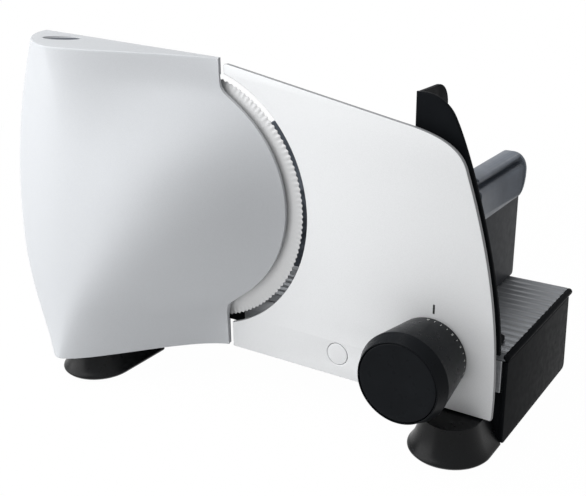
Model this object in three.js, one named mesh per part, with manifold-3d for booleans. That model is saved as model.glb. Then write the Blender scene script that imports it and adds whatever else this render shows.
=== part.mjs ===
// Electric household food slicer with a serrated round blade, a worm-driven blade gear,
// a screw-set stop plate and a sliding food carriage. Sizes are in millimetres.
// Working axes: X towards the operator, Y towards the food side, Z up.
// The blade axis is X = 0, the cutting plane is Y = 0 and the table is Z = 0.

import * as THREE from "three";
import { mergeVertices } from "three/addons/utils/BufferGeometryUtils.js";
import Module from "manifold-3d";

const wasm = await Module();
wasm.setup();

// Clearances
const seatGap = 0.3;
const runningGap = 0.4;

// Blade
const bladeRadius = 85;
const bladeAxisHeight = 130;
const bladeThickness = 1.6;
const bladeBoreRadius = 22;
const bevelWidth = 13;
const toothCount = 150;
const toothDepth = 0.9;
const lockFlangeRadius = 28;
const lockFlangeThickness = 2.1;
const lockGripRadius = 18;
const lockGripWidth = 6;
const lockGripDepth = 1.4;

// Motor housing: a nose at the left and a front that sweeps from its peak to a thin rim over the blade
const bladeShow = 9.5;
const rimDepth = 4.5;
const shellRear = 3.2;
const housingWall = 2.6;
const tipX = 24;
const tipBlend = 10;
const housingOverBlade = 9.4;
const housingTopRise = 0.05;
const housingBottomAtTip = 28;
const housingBottomDrop = 0.07;
const noseX = -145;
const noseTopTaper = 16.5;
const noseBottomTaper = 34;
const peakXAtTop = -83;
const peakXAtBottom = -69;
const peakSwell = 15;
const depthAtTop = 45.5;
const depthAtBottom = 74;
const sweepPowerAtEnds = 1.7;
const sweepPowerAtMiddle = 1.1;
const sweepRounding = 1.6;
const sweepBlend = 32;
const ridgeFullness = 1.4;
const ridgeShare = 0.76;
const ridgeLean = 0.32;
const ridgeBelow = 0.24;
const ridgeAbove = 0.19;
const noseFullness = 1.55;
const noseSwell = 0.65;
const recessGap = 2.5;
const chamberRadius = 60;
const chamberLeft = -126;
const chamberNeck = -20;
const chamberBottom = 50;

// Drive: worm on the motor shaft, worm wheel on the blade axle
const gearModule = 1.2;
const wheelTeeth = 40;
const wheelWidth = 8;
const wheelMidY = -20;
const wormPitchRadius = 4.2;
const wormLength = 16;
const wormHand = 1;
const meshGap = 0.3;
const gearFlangeRadius = 29;
const gearFlangeThickness = 2.5;
const hubRadius = 10;
const gearWeb = 4;
const gearRim = 4.5;
const hubStep = 1.1;
const axleRadius = 4.5;
const axleBossRadius = 9;
const axleSeatDepth = 9;
const bushWall = 1.5;
const washerThickness = 0.8;
const drivePlateThickness = 2.1;
const drivePlateDrop = 0.8;

// Motor
const shaftRadius = 3;
const motorDepth = 28.2;
const motorHeight = 54;
const stackLeft = -100;
const stackLength = 32;
const boreRadius = 13.6;
const airGap = 0.7;
const slotInner = 8.5;
const slotWidth = 4;
const slotNear = 13.4;
const slotHeight = 7;
const coilEnd = 5.5;
const commutatorRadius = 8;
const commutatorLength = 12;
const bracketThickness = 3;
const rearBracketX = -121;
const frontBracketX = -58;
const bracketHeight = 44;
const shaftBushRadius = 6;
const shaftBushLength = 7;
const brushWidth = 5;
const brushLength = 12;
const wormPostThickness = 5;
const wormPostWidth = 16;

// On/off button on the top of the housing
const buttonX = -96;
const buttonY = -17;
const buttonLong = 12.5;
const buttonShort = 6.5;
const buttonTurn = THREE.MathUtils.degToRad(31);
const buttonLip = 2;
const buttonFlange = 2.5;
const buttonSink = 0.6;
const plungerRadius = 2;
const plungerLength = 5;
const springRadius = 4.6;
const springWire = 0.9;
const springTurns = 5;
const springLength = 9.8;
const switchWidth = 20;
const switchHeight = 22;
const switchDepth = 20;

// Stop plate
const plateThickness = 3;
const plateLeft = 29;
const plateGap = 4.5;
const plateBottom = 27;
const plateRight = 217;
const plateArmRise = 7;
const plateTopSlope = -0.19;
const plateCorner = 4;
const plateShoulderX = 152.4;
const plateFlankX = 193.5;
const plateFlankZ = 174.5;
const plateFootPull = [2, 57.5];
const plateFlankPull = [15.7, -44.8];
const plateShoulderPull = [-5.9, 17.1];
const plugX = 112;
const plugZ = 43;
const plugRadius = 7.4;
const plugDepth = 1.5;
const bracketLeft = 72;
const bracketRight = 152;
const plateBracketThickness = 5;
const plateBracketTop = 50;
const guideRodLeftX = 84;
const guideRodRightX = 140;
const guideRodZ = 35;
const guideRodRadius = 3.5;
const guideRodLength = 44;
const rodSeatWall = 1.5;
const guideBossRadius = 7;
const guideBossLength = 17;

// Thickness knob on its spindle
const knobX = 176;
const knobZ = 60.4;
const knobBaseRadius = 23.8;
const knobRimRadius = 28.2;
const knobRimY = -38;
const knobFaceRadius = 25.2;
const knobFaceY = -46;
const knobCapRadius = 24.3;
const knobCapThickness = 5.4;
const knobWeb = 3;
const knobNeckRadius = 6.6;
const retainerRadius = 9.5;
const retainerThickness = 1.2;
const spindleRadius = 3;
const spindleFront = -34;
const spindleBossRadius = 5;
const spindleBossFront = 3.5;
const spindleBossBack = 8.6;
const spindleArmWidth = 9;
const spindleArmBottom = 44;

// Base frame, a table with an open underside
const deckTop = 61.5;
const deckThickness = 4;
const baseWall = 3;
const baseLeft = -118;
const baseRight = 216.5;
const baseFront = 12.8;
const baseBack = 124;
const frontWallBottom = 38;
const rearWallBottom = 5;
const bridgeLeft = -110;
const bridgeRight = 0;
const bridgeTop = 53;
const bridgeBottom = 32;
const railThickness = 3.2;
const railLeft = 30;
const railBottom = 40;
const panelThickness = 3.2;
const panelBack = 128.5;
const panelFront = 10;
const panelCorner = 4;
const glandX = -124;
const glandZ = 62;
const glandRadius = 6.5;
const glandLength = 8;
const glandBore = 3.4;

// Feet
const bellRadius = 26.3;
const bellNeckRadius = 16.8;
const bellTop = 20.2;
const bellLip = 2.2;
const bellWaist = 12;
const padRadius = 14;
const padThickness = 3.2;
const rightFootX = 193.6;
const rightFootY = -6.6;
const leftFootX = -64;
const leftFootY = -40;
const leftFootEnd = 0;
const toeThickness = 5;
const rearFootRadius = 9;
const rearFootInset = 14;

// Carriage
const trayLeft = 16;
const trayRight = 215.2;
const trayFront = 9.2;
const trayBack = 123.5;
const trayTop = 67;
const ribCount = 15;
const ribHeight = 1.2;
const ribShare = 0.55;
const beadRadius = 3.6;
const beadX = 219.2;
const beadZ = 65.6;
const beadBack = 125.5;
const slotFrontY = 62;
const slotBackY = 74;
const runnerLeft = 92;
const runnerLength = 90;
const runnerLip = 5;
const runnerLipThickness = 4;
const carriageTravel = 150;
const guardFront = 5.5;
const guardThickness = 3;
const guardLeft = 157;
const guardBottom = 66;
const guardTop = 214.8;
const guardRightFoot = 216;
const guardFootPull = 38.8;
const guardBrow = [-36, -10.5];
const guardBrowPull = [12.8, -21.9];
const guardCrownPull = [-4, 6];
const guardCrownFlat = 4;
const guardFlangeLength = 18;
const wingDepth = 35;
const wingBottom = 149;
const wingRound = 13;
const wallX = 175;
const wallThickness = 3;
const wallTop = 146;
const wallBack = 124;
const guardScrewRadius = 3.5;
const guardScrewHead = 2;

// Food pusher that rides on the carriage wall
const pusherFront = 53.5;
const pusherBack = 126;
const saddleWall = 4.4;
const saddleTop = 156;
const saddleOuterBottom = 126;
const saddleInnerBottom = 108;
const saddleCorner = 7;
const faceWall = 2.2;
const faceHem = 0.8;
const faceHemHeight = 5;
const fingerSlotDepth = 4.6;
const fingerSlotFloor = 148.2;
const fingerSlotTop = 150.6;
const endFlangeThickness = 2.2;
const endFlangeProud = 2.2;
const endFlangeWidest = 144;
const pusherPlateLeft = 17;
const pusherPlateThickness = 3.5;
const pusherPlateBottom = 70;
const pusherPlateTop = 176;
const pusherShoulderX = 154;
const pusherShoulderTop = 146;
const pusherCorner = 18;
const spikeRows = 3;
const spikeColumns = 5;
const spikeRadius = 2.2;
const spikeHeight = 3;

// Rear cover screws
const coverScrewRadius = 4;
const coverScrewSpots = [
  [-117, 196],
  [-130, 130],
  [-112, 54],
];

// Sizes that follow from those above
const hoodRadius = bladeRadius - bladeShow;
const housingTopAtTip = bladeAxisHeight + bladeRadius + housingOverBlade;
const chamberTop = housingTopAtTip + housingTopRise * (tipX - noseX) + housingWall;
const drivePlateTop = housingTopAtTip - housingWall - drivePlateDrop;
const coverThickness = shellRear - seatGap;
const wheelPitchRadius = (gearModule * wheelTeeth) / 2;
const wormLead = Math.PI * gearModule;
const wormAxisZ = bladeAxisHeight - wheelPitchRadius - wormPitchRadius;
const toothAddendum = 0.92 * gearModule;
const wheelTipRadius = wheelPitchRadius + toothAddendum;
const wormTipRadius = wormPitchRadius + toothAddendum;
const wheelRootRadius = wheelPitchRadius + wormPitchRadius - wormTipRadius - meshGap;
const wormRootRadius = wheelPitchRadius + wormPitchRadius - wheelTipRadius - meshGap;
const drivePlateRear = -shellRear - seatGap;
const drivePlateFront = drivePlateRear - drivePlateThickness;
const gearFace = -bladeThickness - seatGap;
const hubFront = wheelMidY - wheelWidth / 2 - hubStep;
const axleBossRear = hubFront - washerThickness - 2 * seatGap;
const axleBoreEnd = axleBossRear - axleSeatDepth;
const bushRadius = axleRadius + seatGap + bushWall;
const hubBore = bushRadius + seatGap;
const stackRight = stackLeft + stackLength;
const commutatorLeft = rearBracketX + (bracketThickness + shaftBushLength) / 2 + seatGap;
const motorRear = drivePlateFront - seatGap;
const motorAxisY = wheelMidY;
const motorHalfDepth = motorDepth / 2;
const plateArcRadius = bladeRadius + plateGap;
const plateArmReach = Math.sqrt(plateArcRadius ** 2 - plateLeft ** 2);
const plateTopLeft = bladeAxisHeight + plateArmReach + plateArmRise;
const knobBaseY = -plateThickness - seatGap;
const neckBack = seatGap + retainerThickness + seatGap;
const trayBottom = deckTop + seatGap;
const guardBack = guardFront + guardThickness;
const panelFace = baseRight + seatGap + panelThickness;

const xAxis = new THREE.Vector3(1, 0, 0);
const yAxis = new THREE.Vector3(0, 1, 0);
const zAxis = new THREE.Vector3(0, 0, 1);

// A closed mesh as a solid that can be joined and cut.
function solid(geometry) {
  const bare = geometry.index ? geometry.toNonIndexed() : geometry.clone();
  bare.deleteAttribute("normal");
  bare.deleteAttribute("uv");
  const merged = mergeVertices(bare, 1e-4);
  const corners = Array.from(merged.index.array);
  const kept = [];
  for (let i = 0; i < corners.length; i += 3) {
    const [a, b, c] = corners.slice(i, i + 3);
    if (a !== b && b !== c && a !== c) kept.push(a, b, c);
  }
  const vertProperties = merged.attributes.position.array;
  return new wasm.Manifold(new wasm.Mesh({ numProp: 3, vertProperties, triVerts: new Uint32Array(kept) }));
}

function geometryOf(manifold) {
  const mesh = manifold.getMesh();
  const geometry = new THREE.BufferGeometry();
  geometry.setAttribute("position", new THREE.BufferAttribute(mesh.vertProperties, 3));
  geometry.setIndex(new THREE.BufferAttribute(mesh.triVerts, 1));
  return geometry;
}

function cut(body, ...tools) {
  return geometryOf(tools.reduce((left, tool) => left.subtract(solid(tool)), solid(body)));
}

function join(...pieces) {
  return geometryOf(pieces.slice(1).reduce((whole, piece) => whole.add(solid(piece)), solid(pieces[0])));
}

function common(first, second) {
  return geometryOf(solid(first).intersect(solid(second)));
}

// A profile in X and Z, swept along Y.
function alongY(shape, yLow, yHigh, curveSegments = 12) {
  const options = { depth: yHigh - yLow, bevelEnabled: false, curveSegments };
  return new THREE.ExtrudeGeometry(shape, options).rotateX(Math.PI / 2).translate(0, yHigh, 0);
}

// A profile in Y and Z, swept along X.
function alongX(shape, xLow, xHigh, curveSegments = 12) {
  const options = { depth: xHigh - xLow, bevelEnabled: false, curveSegments };
  const turn = new THREE.Matrix4().makeBasis(yAxis, zAxis, xAxis);
  return new THREE.ExtrudeGeometry(shape, options).applyMatrix4(turn).translate(xLow, 0, 0);
}

// A profile in X and Y, swept up Z.
function alongZ(shape, zLow, zHigh, curveSegments = 12) {
  const options = { depth: zHigh - zLow, bevelEnabled: false, curveSegments };
  return new THREE.ExtrudeGeometry(shape, options).translate(0, 0, zLow);
}

function block(xLow, xHigh, yLow, yHigh, zLow, zHigh) {
  const box = new THREE.BoxGeometry(xHigh - xLow, yHigh - yLow, zHigh - zLow);
  return box.translate((xLow + xHigh) / 2, (yLow + yHigh) / 2, (zLow + zHigh) / 2);
}

function rodY(x, z, radius, yLow, yHigh, sides = 20) {
  return new THREE.CylinderGeometry(radius, radius, yHigh - yLow, sides).translate(x, (yLow + yHigh) / 2, z);
}

function rodX(y, z, radius, xLow, xHigh, sides = 20) {
  const rod = new THREE.CylinderGeometry(radius, radius, xHigh - xLow, sides).rotateZ(Math.PI / 2);
  return rod.translate((xLow + xHigh) / 2, y, z);
}

function rodZ(x, y, radius, zLow, zHigh, sides = 20) {
  const rod = new THREE.CylinderGeometry(radius, radius, zHigh - zLow, sides).rotateX(Math.PI / 2);
  return rod.translate(x, y, (zLow + zHigh) / 2);
}

// A profile of [radius, place along the axis] pairs, turned about the Y axis or the Z axis.
function turnedY(profile, sides = 32) {
  return new THREE.LatheGeometry(profile.map(([r, y]) => new THREE.Vector2(r, y)), sides);
}

function turnedZ(profile, sides = 32) {
  return turnedY(profile, sides).rotateX(Math.PI / 2);
}

function ringY(innerRadius, outerRadius, yLow, yHigh, sides = 24) {
  const profile = [
    [innerRadius, yLow],
    [outerRadius, yLow],
    [outerRadius, yHigh],
    [innerRadius, yHigh],
    [innerRadius, yLow],
  ];
  return turnedY(profile, sides);
}

function ringX(innerRadius, outerRadius, xLow, xHigh, sides = 24) {
  return ringY(innerRadius, outerRadius, -xHigh, -xLow, sides).rotateZ(Math.PI / 2);
}

function outline(points) {
  return new THREE.Shape(points.map(([a, b]) => new THREE.Vector2(a, b)));
}

// A corner moved by a pull, for the control points of a curve.
function pulled([a, b], [pullA, pullB]) {
  return [a + pullA, b + pullB];
}

function roundedRectangle(aLow, aHigh, bLow, bHigh, radius) {
  const shape = new THREE.Shape();
  shape.absarc(aHigh - radius, bLow + radius, radius, -Math.PI / 2, 0);
  shape.absarc(aHigh - radius, bHigh - radius, radius, 0, Math.PI / 2);
  shape.absarc(aLow + radius, bHigh - radius, radius, Math.PI / 2, Math.PI);
  shape.absarc(aLow + radius, bLow + radius, radius, Math.PI, 1.5 * Math.PI);
  shape.closePath();
  return shape;
}

// Points round an ellipse, or round a circle where both halves are equal.
function roundPoints(aHalf, bHalf, sides) {
  return Array.from({ length: sides }, (_, i) => {
    const angle = (i * 2 * Math.PI) / sides;
    return new THREE.Vector2(aHalf * Math.cos(angle), bHalf * Math.sin(angle));
  });
}

function oval(longHalf, shortHalf, grow = 0) {
  return new THREE.Shape(roundPoints(longHalf + grow, shortHalf + grow, 24));
}

// Skin over rings of points. A wrapped skin joins its last ring to its first,
// any other is closed by flat ends.
function loft(rings, wrapped = false) {
  const count = rings[0].length;
  const points = rings.flat();
  const faces = [];
  const lastRing = wrapped ? rings.length : rings.length - 1;
  for (let i = 0; i < lastRing; i += 1) {
    const low = i * count;
    const high = ((i + 1) % rings.length) * count;
    for (let j = 0; j < count; j += 1) {
      const k = (j + 1) % count;
      faces.push(low + j, low + k, high + k, low + j, high + k, high + j);
    }
  }
  if (!wrapped) {
    const top = (rings.length - 1) * count;
    const flat = (ring) => ring.map((p) => new THREE.Vector2(p.x, p.y));
    for (const [a, b, c] of THREE.ShapeUtils.triangulateShape(flat(rings[0]), [])) faces.push(a, c, b);
    for (const [a, b, c] of THREE.ShapeUtils.triangulateShape(flat(rings.at(-1)), [])) {
      faces.push(top + a, top + b, top + c);
    }
  }
  const geometry = new THREE.BufferGeometry().setFromPoints(points);
  return geometry.setIndex(faces);
}

function steps(count, make) {
  return Array.from({ length: count + 1 }, (_, i) => make(i / count));
}

const slicer = new THREE.Group();
const finishes = {
  silverPaint: { color: 0xc9ced3, roughness: 0.38, metalness: 0.5 },
  plateSilver: { color: 0xdfe1e3, roughness: 0.42, metalness: 0.3 },
  blackPlastic: { color: 0x17191b, roughness: 0.5, metalness: 0 },
  darkGrey: { color: 0x4b4f54, roughness: 0.5, metalness: 0.1 },
  trayGrey: { color: 0x7d8289, roughness: 0.45, metalness: 0.4 },
  railGrey: { color: 0xb4b8bc, roughness: 0.4, metalness: 0.6 },
  buttonGrey: { color: 0x6e7680, roughness: 0.45, metalness: 0 },
  steel: { color: 0xd4d7da, roughness: 0.2, metalness: 1 },
  ironStack: { color: 0x5c6066, roughness: 0.5, metalness: 0.9 },
  bronze: { color: 0xa9793a, roughness: 0.4, metalness: 1 },
  copper: { color: 0xb56a3c, roughness: 0.35, metalness: 1 },
  carbon: { color: 0x2a2a2c, roughness: 0.7, metalness: 0 },
  gearNylon: { color: 0xe6e2d6, roughness: 0.5, metalness: 0 },
  rubber: { color: 0x1c1c1e, roughness: 0.8, metalness: 0 },
};

function piece(parent, name, geometry, finish) {
  const mesh = new THREE.Mesh(geometry, new THREE.MeshStandardMaterial(finishes[finish]));
  mesh.name = name;
  parent.add(mesh);
  return mesh;
}

function assembly() {
  const group = new THREE.Group();
  slicer.add(group);
  return group;
}

// Motor housing form

// How far the ends draw in between mid height and the bottom (0) or the top (1).
function bow(share, atBottom, atTop) {
  const away = Math.abs(share - 0.5) / 0.5;
  return share < 0.5 ? atBottom * away ** 3 : atTop * away ** 2;
}

// One at mid height, nought at the bottom and the top.
function swell(share) {
  return 4 * share * (1 - share);
}

function housingTop(x) {
  return housingTopAtTip + housingTopRise * (tipX - x);
}

function housingBottom(x) {
  return housingBottomAtTip - housingBottomDrop * (tipX - x);
}

function housingHeight(x, share) {
  return THREE.MathUtils.lerp(housingBottom(x), housingTop(x), share);
}

function noseEnd(share) {
  return noseX + bow(share, noseBottomTaper, noseTopTaper);
}

function sweepPeak(share) {
  return THREE.MathUtils.lerp(peakXAtBottom, peakXAtTop, share) + peakSwell * swell(share);
}

function sweepDepth(share) {
  return THREE.MathUtils.lerp(depthAtBottom, depthAtTop, share);
}

// Right edge of the front: the tip line, swollen to the round hood over the blade.
function rightEdge(z, blend) {
  const rise = z - bladeAxisHeight;
  const square = hoodRadius ** 2 - rise ** 2;
  const hood = Math.sqrt((square + Math.hypot(square, blend ** 2)) / 2);
  return (tipX + hood + Math.hypot(tipX - hood, blend)) / 2;
}

// One along the ridge of the front, which falls from the right edge to the peak, and less away from it.
function ridge(share, reach) {
  const away = share - ridgeShare + ridgeLean * reach;
  const width = away < 0 ? ridgeBelow : ridgeAbove;
  return Math.exp(-((away / width) ** 2));
}

// Depth of the front below the cutting plane. It sweeps from the rim near the right edge to the peak,
// and is fullest along the ridge.
function frontDepth(x, share, sweepStart) {
  const reach = THREE.MathUtils.clamp((sweepStart - x) / (sweepStart - sweepPeak(share)), 0, 1);
  const power = THREE.MathUtils.lerp(sweepPowerAtEnds, sweepPowerAtMiddle, swell(share));
  const rounding = sweepRounding + ridgeFullness * ridge(share, reach);
  const swept = 1 - (1 - reach ** power) ** rounding;
  return THREE.MathUtils.lerp(rimDepth, sweepDepth(share), swept);
}

// One level cut through the housing, drawn in by a wall where it is the inside.
function housingRing(share, wall, rearY, frontCount, noseCount) {
  const level = (x) => THREE.MathUtils.lerp(housingBottom(x) + wall, housingTop(x) - wall, share);
  const left = noseEnd(share) + wall;
  const peak = sweepPeak(share);
  const right = rightEdge(level(tipX), tipBlend);
  const sweepStart = rightEdge(level(tipX), sweepBlend);
  const fullness = noseFullness + noseSwell * swell(share);
  const point = (x, y) => new THREE.Vector3(x, y, level(x));
  const nose = steps(noseCount, (t) => {
    const across = Math.cos((t * Math.PI) / 2) ** (2 / fullness);
    const deep = Math.sin((t * Math.PI) / 2) ** (2 / fullness);
    return point(peak + (left - peak) * across, -shellRear - (sweepDepth(share) - wall - shellRear) * deep);
  });
  const front = steps(frontCount, (t) => {
    const x = peak + (right - wall - peak) * t;
    return point(x, -(frontDepth(x, share, sweepStart) - wall));
  });
  const noseStart = rearY === -shellRear ? 1 : 0;
  return [point(right - wall, rearY), point(left, rearY), ...nose.slice(noseStart), ...front.slice(1)];
}

function makeHousing() {
  const group = assembly();
  const outer = loft(steps(34, (v) => housingRing(v, 0, -shellRear, 18, 9)));
  const inner = loft(steps(16, (v) => housingRing(v, housingWall, rimDepth, 14, 6)));
  const chamber = alongY(chamberOutline(0), -2 * depthAtBottom, 1, 24);
  const axis = bladeAxisHeight;
  const axleBoss = rodY(0, axis, axleBossRadius, -depthAtBottom, axleBossRear, 20);
  const hollow = cut(common(inner, chamber), axleBoss);
  const axleBore = rodY(0, axis, axleRadius + seatGap, axleBoreEnd, axleBossRear + 1, 20);
  const buttonHole = alongZ(oval(buttonLong, buttonShort), -1, 1, 10);
  buttonHole.scale(1, 1, buttonFlange + 4 * housingWall).rotateZ(buttonTurn);
  buttonHole.translate(buttonX, buttonY, housingTop(buttonX));
  const shell = cut(outer, hollow, axleBore, buttonHole);
  piece(group, "motor_housing", shell, "silverPaint");

  const recess = rodY(0, axis, bladeRadius + recessGap, -shellRear, 1, 56);
  const screwSeats = coverScrewSpots.map(([x, z]) => {
    return rodY(x, z, coverScrewRadius + seatGap, -coverThickness / 2 - seatGap, 1, 12);
  });
  const coverBlank = alongY(coverOutline(), -coverThickness, 0);
  piece(group, "rear_cover", cut(coverBlank, recess, ...screwSeats), "silverPaint");
  coverScrewSpots.forEach(([x, z], i) => {
    const head = slottedScrew(coverScrewRadius, coverThickness / 2);
    piece(group, `cover_screw_${i + 1}`, head, "steel").position.set(x, 0, z);
  });

  const gland = cut(
    turnedY(
      [
        [0, seatGap],
        [glandRadius, seatGap],
        [glandRadius, glandLength / 2],
        [glandRadius - 1.5, glandLength],
        [0, glandLength],
      ],
      20,
    ),
    rodY(0, 0, glandBore, seatGap + 1, glandLength + 1, 16),
  );
  piece(group, "cord_gland", gland, "blackPlastic").position.set(glandX, 0, glandZ);
  return group;
}

// Keyhole outline of the gear and motor chamber, drawn in by an inset.
function chamberOutline(inset) {
  const radius = chamberRadius - inset;
  const neck = chamberNeck - inset;
  const top = inset ? drivePlateTop : chamberTop;
  const bottom = chamberBottom + inset;
  const half = Math.acos(neck / radius);
  const shape = new THREE.Shape();
  shape.moveTo(neck, top);
  shape.lineTo(chamberLeft + inset, top);
  shape.lineTo(chamberLeft + inset, bottom);
  shape.lineTo(neck, bottom);
  shape.absarc(0, bladeAxisHeight, radius, -half, half);
  shape.closePath();
  return shape;
}

// Flat outline of the housing's food side: nose curve, level ends and straight tip line.
function coverOutline() {
  const nose = steps(14, (v) => {
    const x = noseEnd(v);
    return [x, housingHeight(x, v)];
  });
  return outline([[tipX, housingBottom(tipX)], [tipX, housingTop(tipX)], ...nose.reverse()]);
}

// A flat screw head with a driver slot, its face on the plane Y = 0.
function slottedScrew(radius, height) {
  const slotHalf = radius / 8;
  const slot = block(-2 * radius, 2 * radius, -height / 2, height, -slotHalf, slotHalf);
  return cut(rodY(0, 0, radius, -height, 0, 12), slot);
}

// Blade, its gear and what holds it

// A level ring of points whose radius alternates between a tooth and the dip beside it.
function rimRing(tooth, dip, level) {
  return Array.from({ length: 2 * toothCount }, (_, i) => {
    const angle = (i * Math.PI) / toothCount;
    const radius = i % 2 ? dip : tooth;
    return new THREE.Vector3(radius * Math.cos(angle), radius * Math.sin(angle), level);
  });
}

// Flat on the food side, ground to a long bevel on the other, with a toothed edge.
function bladeDisc() {
  const bevelRadius = bladeRadius - bevelWidth;
  const edge = rimRing(bladeRadius, bladeRadius - toothDepth, 0);
  const bevelEnd = rimRing(bevelRadius, bevelRadius, bladeThickness);
  const disc = loft([edge, bevelEnd]).rotateX(Math.PI / 2);
  return cut(disc, rodY(0, 0, bladeBoreRadius, -2 * bladeThickness, bladeThickness, 48));
}

function makeBlade() {
  const group = assembly();
  group.position.z = bladeAxisHeight;
  const blade = bladeDisc();
  piece(group, "blade", blade, "steel");

  const lockBlank = turnedY(
    [
      [0, -bladeThickness],
      [bladeBoreRadius - seatGap, -bladeThickness],
      [bladeBoreRadius - seatGap, seatGap],
      [lockFlangeRadius, seatGap],
      [lockFlangeRadius - 1, seatGap + lockFlangeThickness],
      [0, seatGap + lockFlangeThickness],
    ],
    40,
  );
  const lockFace = seatGap + lockFlangeThickness;
  const gripWell = rodY(0, 0, lockGripRadius, lockFace - lockGripDepth, lockFace + 1, 32);
  const gripHalf = lockGripWidth / 2;
  const gripBar = block(-lockFlangeRadius, lockFlangeRadius, -1, lockFace + 2, -gripHalf, gripHalf);
  piece(group, "blade_lock", cut(lockBlank, cut(gripWell, gripBar)), "blackPlastic");

  const rimInner = wheelRootRadius - gearRim;
  const flangeFront = gearFace - gearFlangeThickness;
  const hub = ringY(hubBore, hubRadius, hubFront, gearFace, 28);
  const flange = ringY(hubBore, gearFlangeRadius, flangeFront, gearFace, 40);
  const pocket = ringY(hubRadius, rimInner, wheelMidY - wheelWidth, wheelMidY - gearWeb / 2, 28);
  const backPocket = pocket.clone().translate(0, wheelWidth + gearWeb / 2, 0);
  const bore = rodY(0, 0, hubBore, 2 * wheelMidY, 0, 28);
  const wheel = cut(wheelDisc(), pocket, backPocket, bore);
  piece(group, "blade_gear", join(wheel, hub, flange), "gearNylon");
  piece(group, "gear_bush", ringY(axleRadius + seatGap, bushRadius, hubFront, flangeFront), "bronze");
  return group;
}

// Worm wheel blank. Its teeth lean with the worm's thread, and a gap faces the worm.
function wheelDisc() {
  const places = [-0.27, -0.12, 0.12, 0.27];
  const lean = (wormHand * wormLead) / (2 * Math.PI * wormPitchRadius * wheelPitchRadius);
  const toothRing = (depth) =>
    Array.from({ length: 4 * wheelTeeth }, (_, i) => {
      const place = Math.floor(i / 4) + places[i % 4] + 0.5;
      const angle = (place * 2 * Math.PI) / wheelTeeth - lean * depth;
      const radius = i % 4 === 1 || i % 4 === 2 ? wheelTipRadius : wheelRootRadius;
      return new THREE.Vector3(radius * Math.cos(angle), radius * Math.sin(angle), depth);
    });
  const disc = loft([toothRing(-wheelWidth / 2), toothRing(wheelWidth / 2)]);
  return disc.rotateX(Math.PI / 2).translate(0, wheelMidY, 0);
}

// Motor and the plate that carries the drive

// Radius of the worm at a place along the shaft and an angle from straight up.
function wormRadius(x, angle) {
  const phase = x / wormLead - (wormHand * angle) / (2 * Math.PI);
  const off = Math.abs(phase - Math.round(phase));
  const flank = THREE.MathUtils.clamp((0.24 - off) / 0.12, 0, 1);
  return THREE.MathUtils.lerp(wormRootRadius, wormTipRadius, flank);
}

function makeShaft() {
  const sides = 14;
  const ring = (x, radiusAt) =>
    Array.from({ length: sides }, (_, i) => {
      const angle = (-i * 2 * Math.PI) / sides;
      const radius = radiusAt(angle);
      return new THREE.Vector3(x, radius * Math.sin(angle), radius * Math.cos(angle));
    });
  const plain = () => wormRootRadius;
  const threadSteps = Math.round((5 * wormLength) / wormLead);
  const thread = steps(threadSteps, (t) => {
    const x = wormLength * (t - 0.5);
    return ring(x, (angle) => wormRadius(x, angle));
  });
  const end = wormLength / 2 + wormPostThickness + 2;
  const runOut = wormLength / 2 + 0.2;
  const before = [ring(-end, plain), ring(-runOut, plain)];
  const after = [ring(runOut, plain), ring(end, plain)];
  const worm = loftAlongX([...before, ...thread, ...after]);
  const shaft = rodX(0, 0, shaftRadius, rearBracketX - 3, -wormLength / 2 - 1.5, sides);
  return join(worm, shaft);
}

// Skin over rings square to X, closed by fans at both ends.
function loftAlongX(rings) {
  const turned = rings.map((ring) => ring.map((p) => new THREE.Vector3(p.y, p.z, p.x)));
  return loft(turned).applyMatrix4(new THREE.Matrix4().makeBasis(yAxis, zAxis, xAxis));
}

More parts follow.
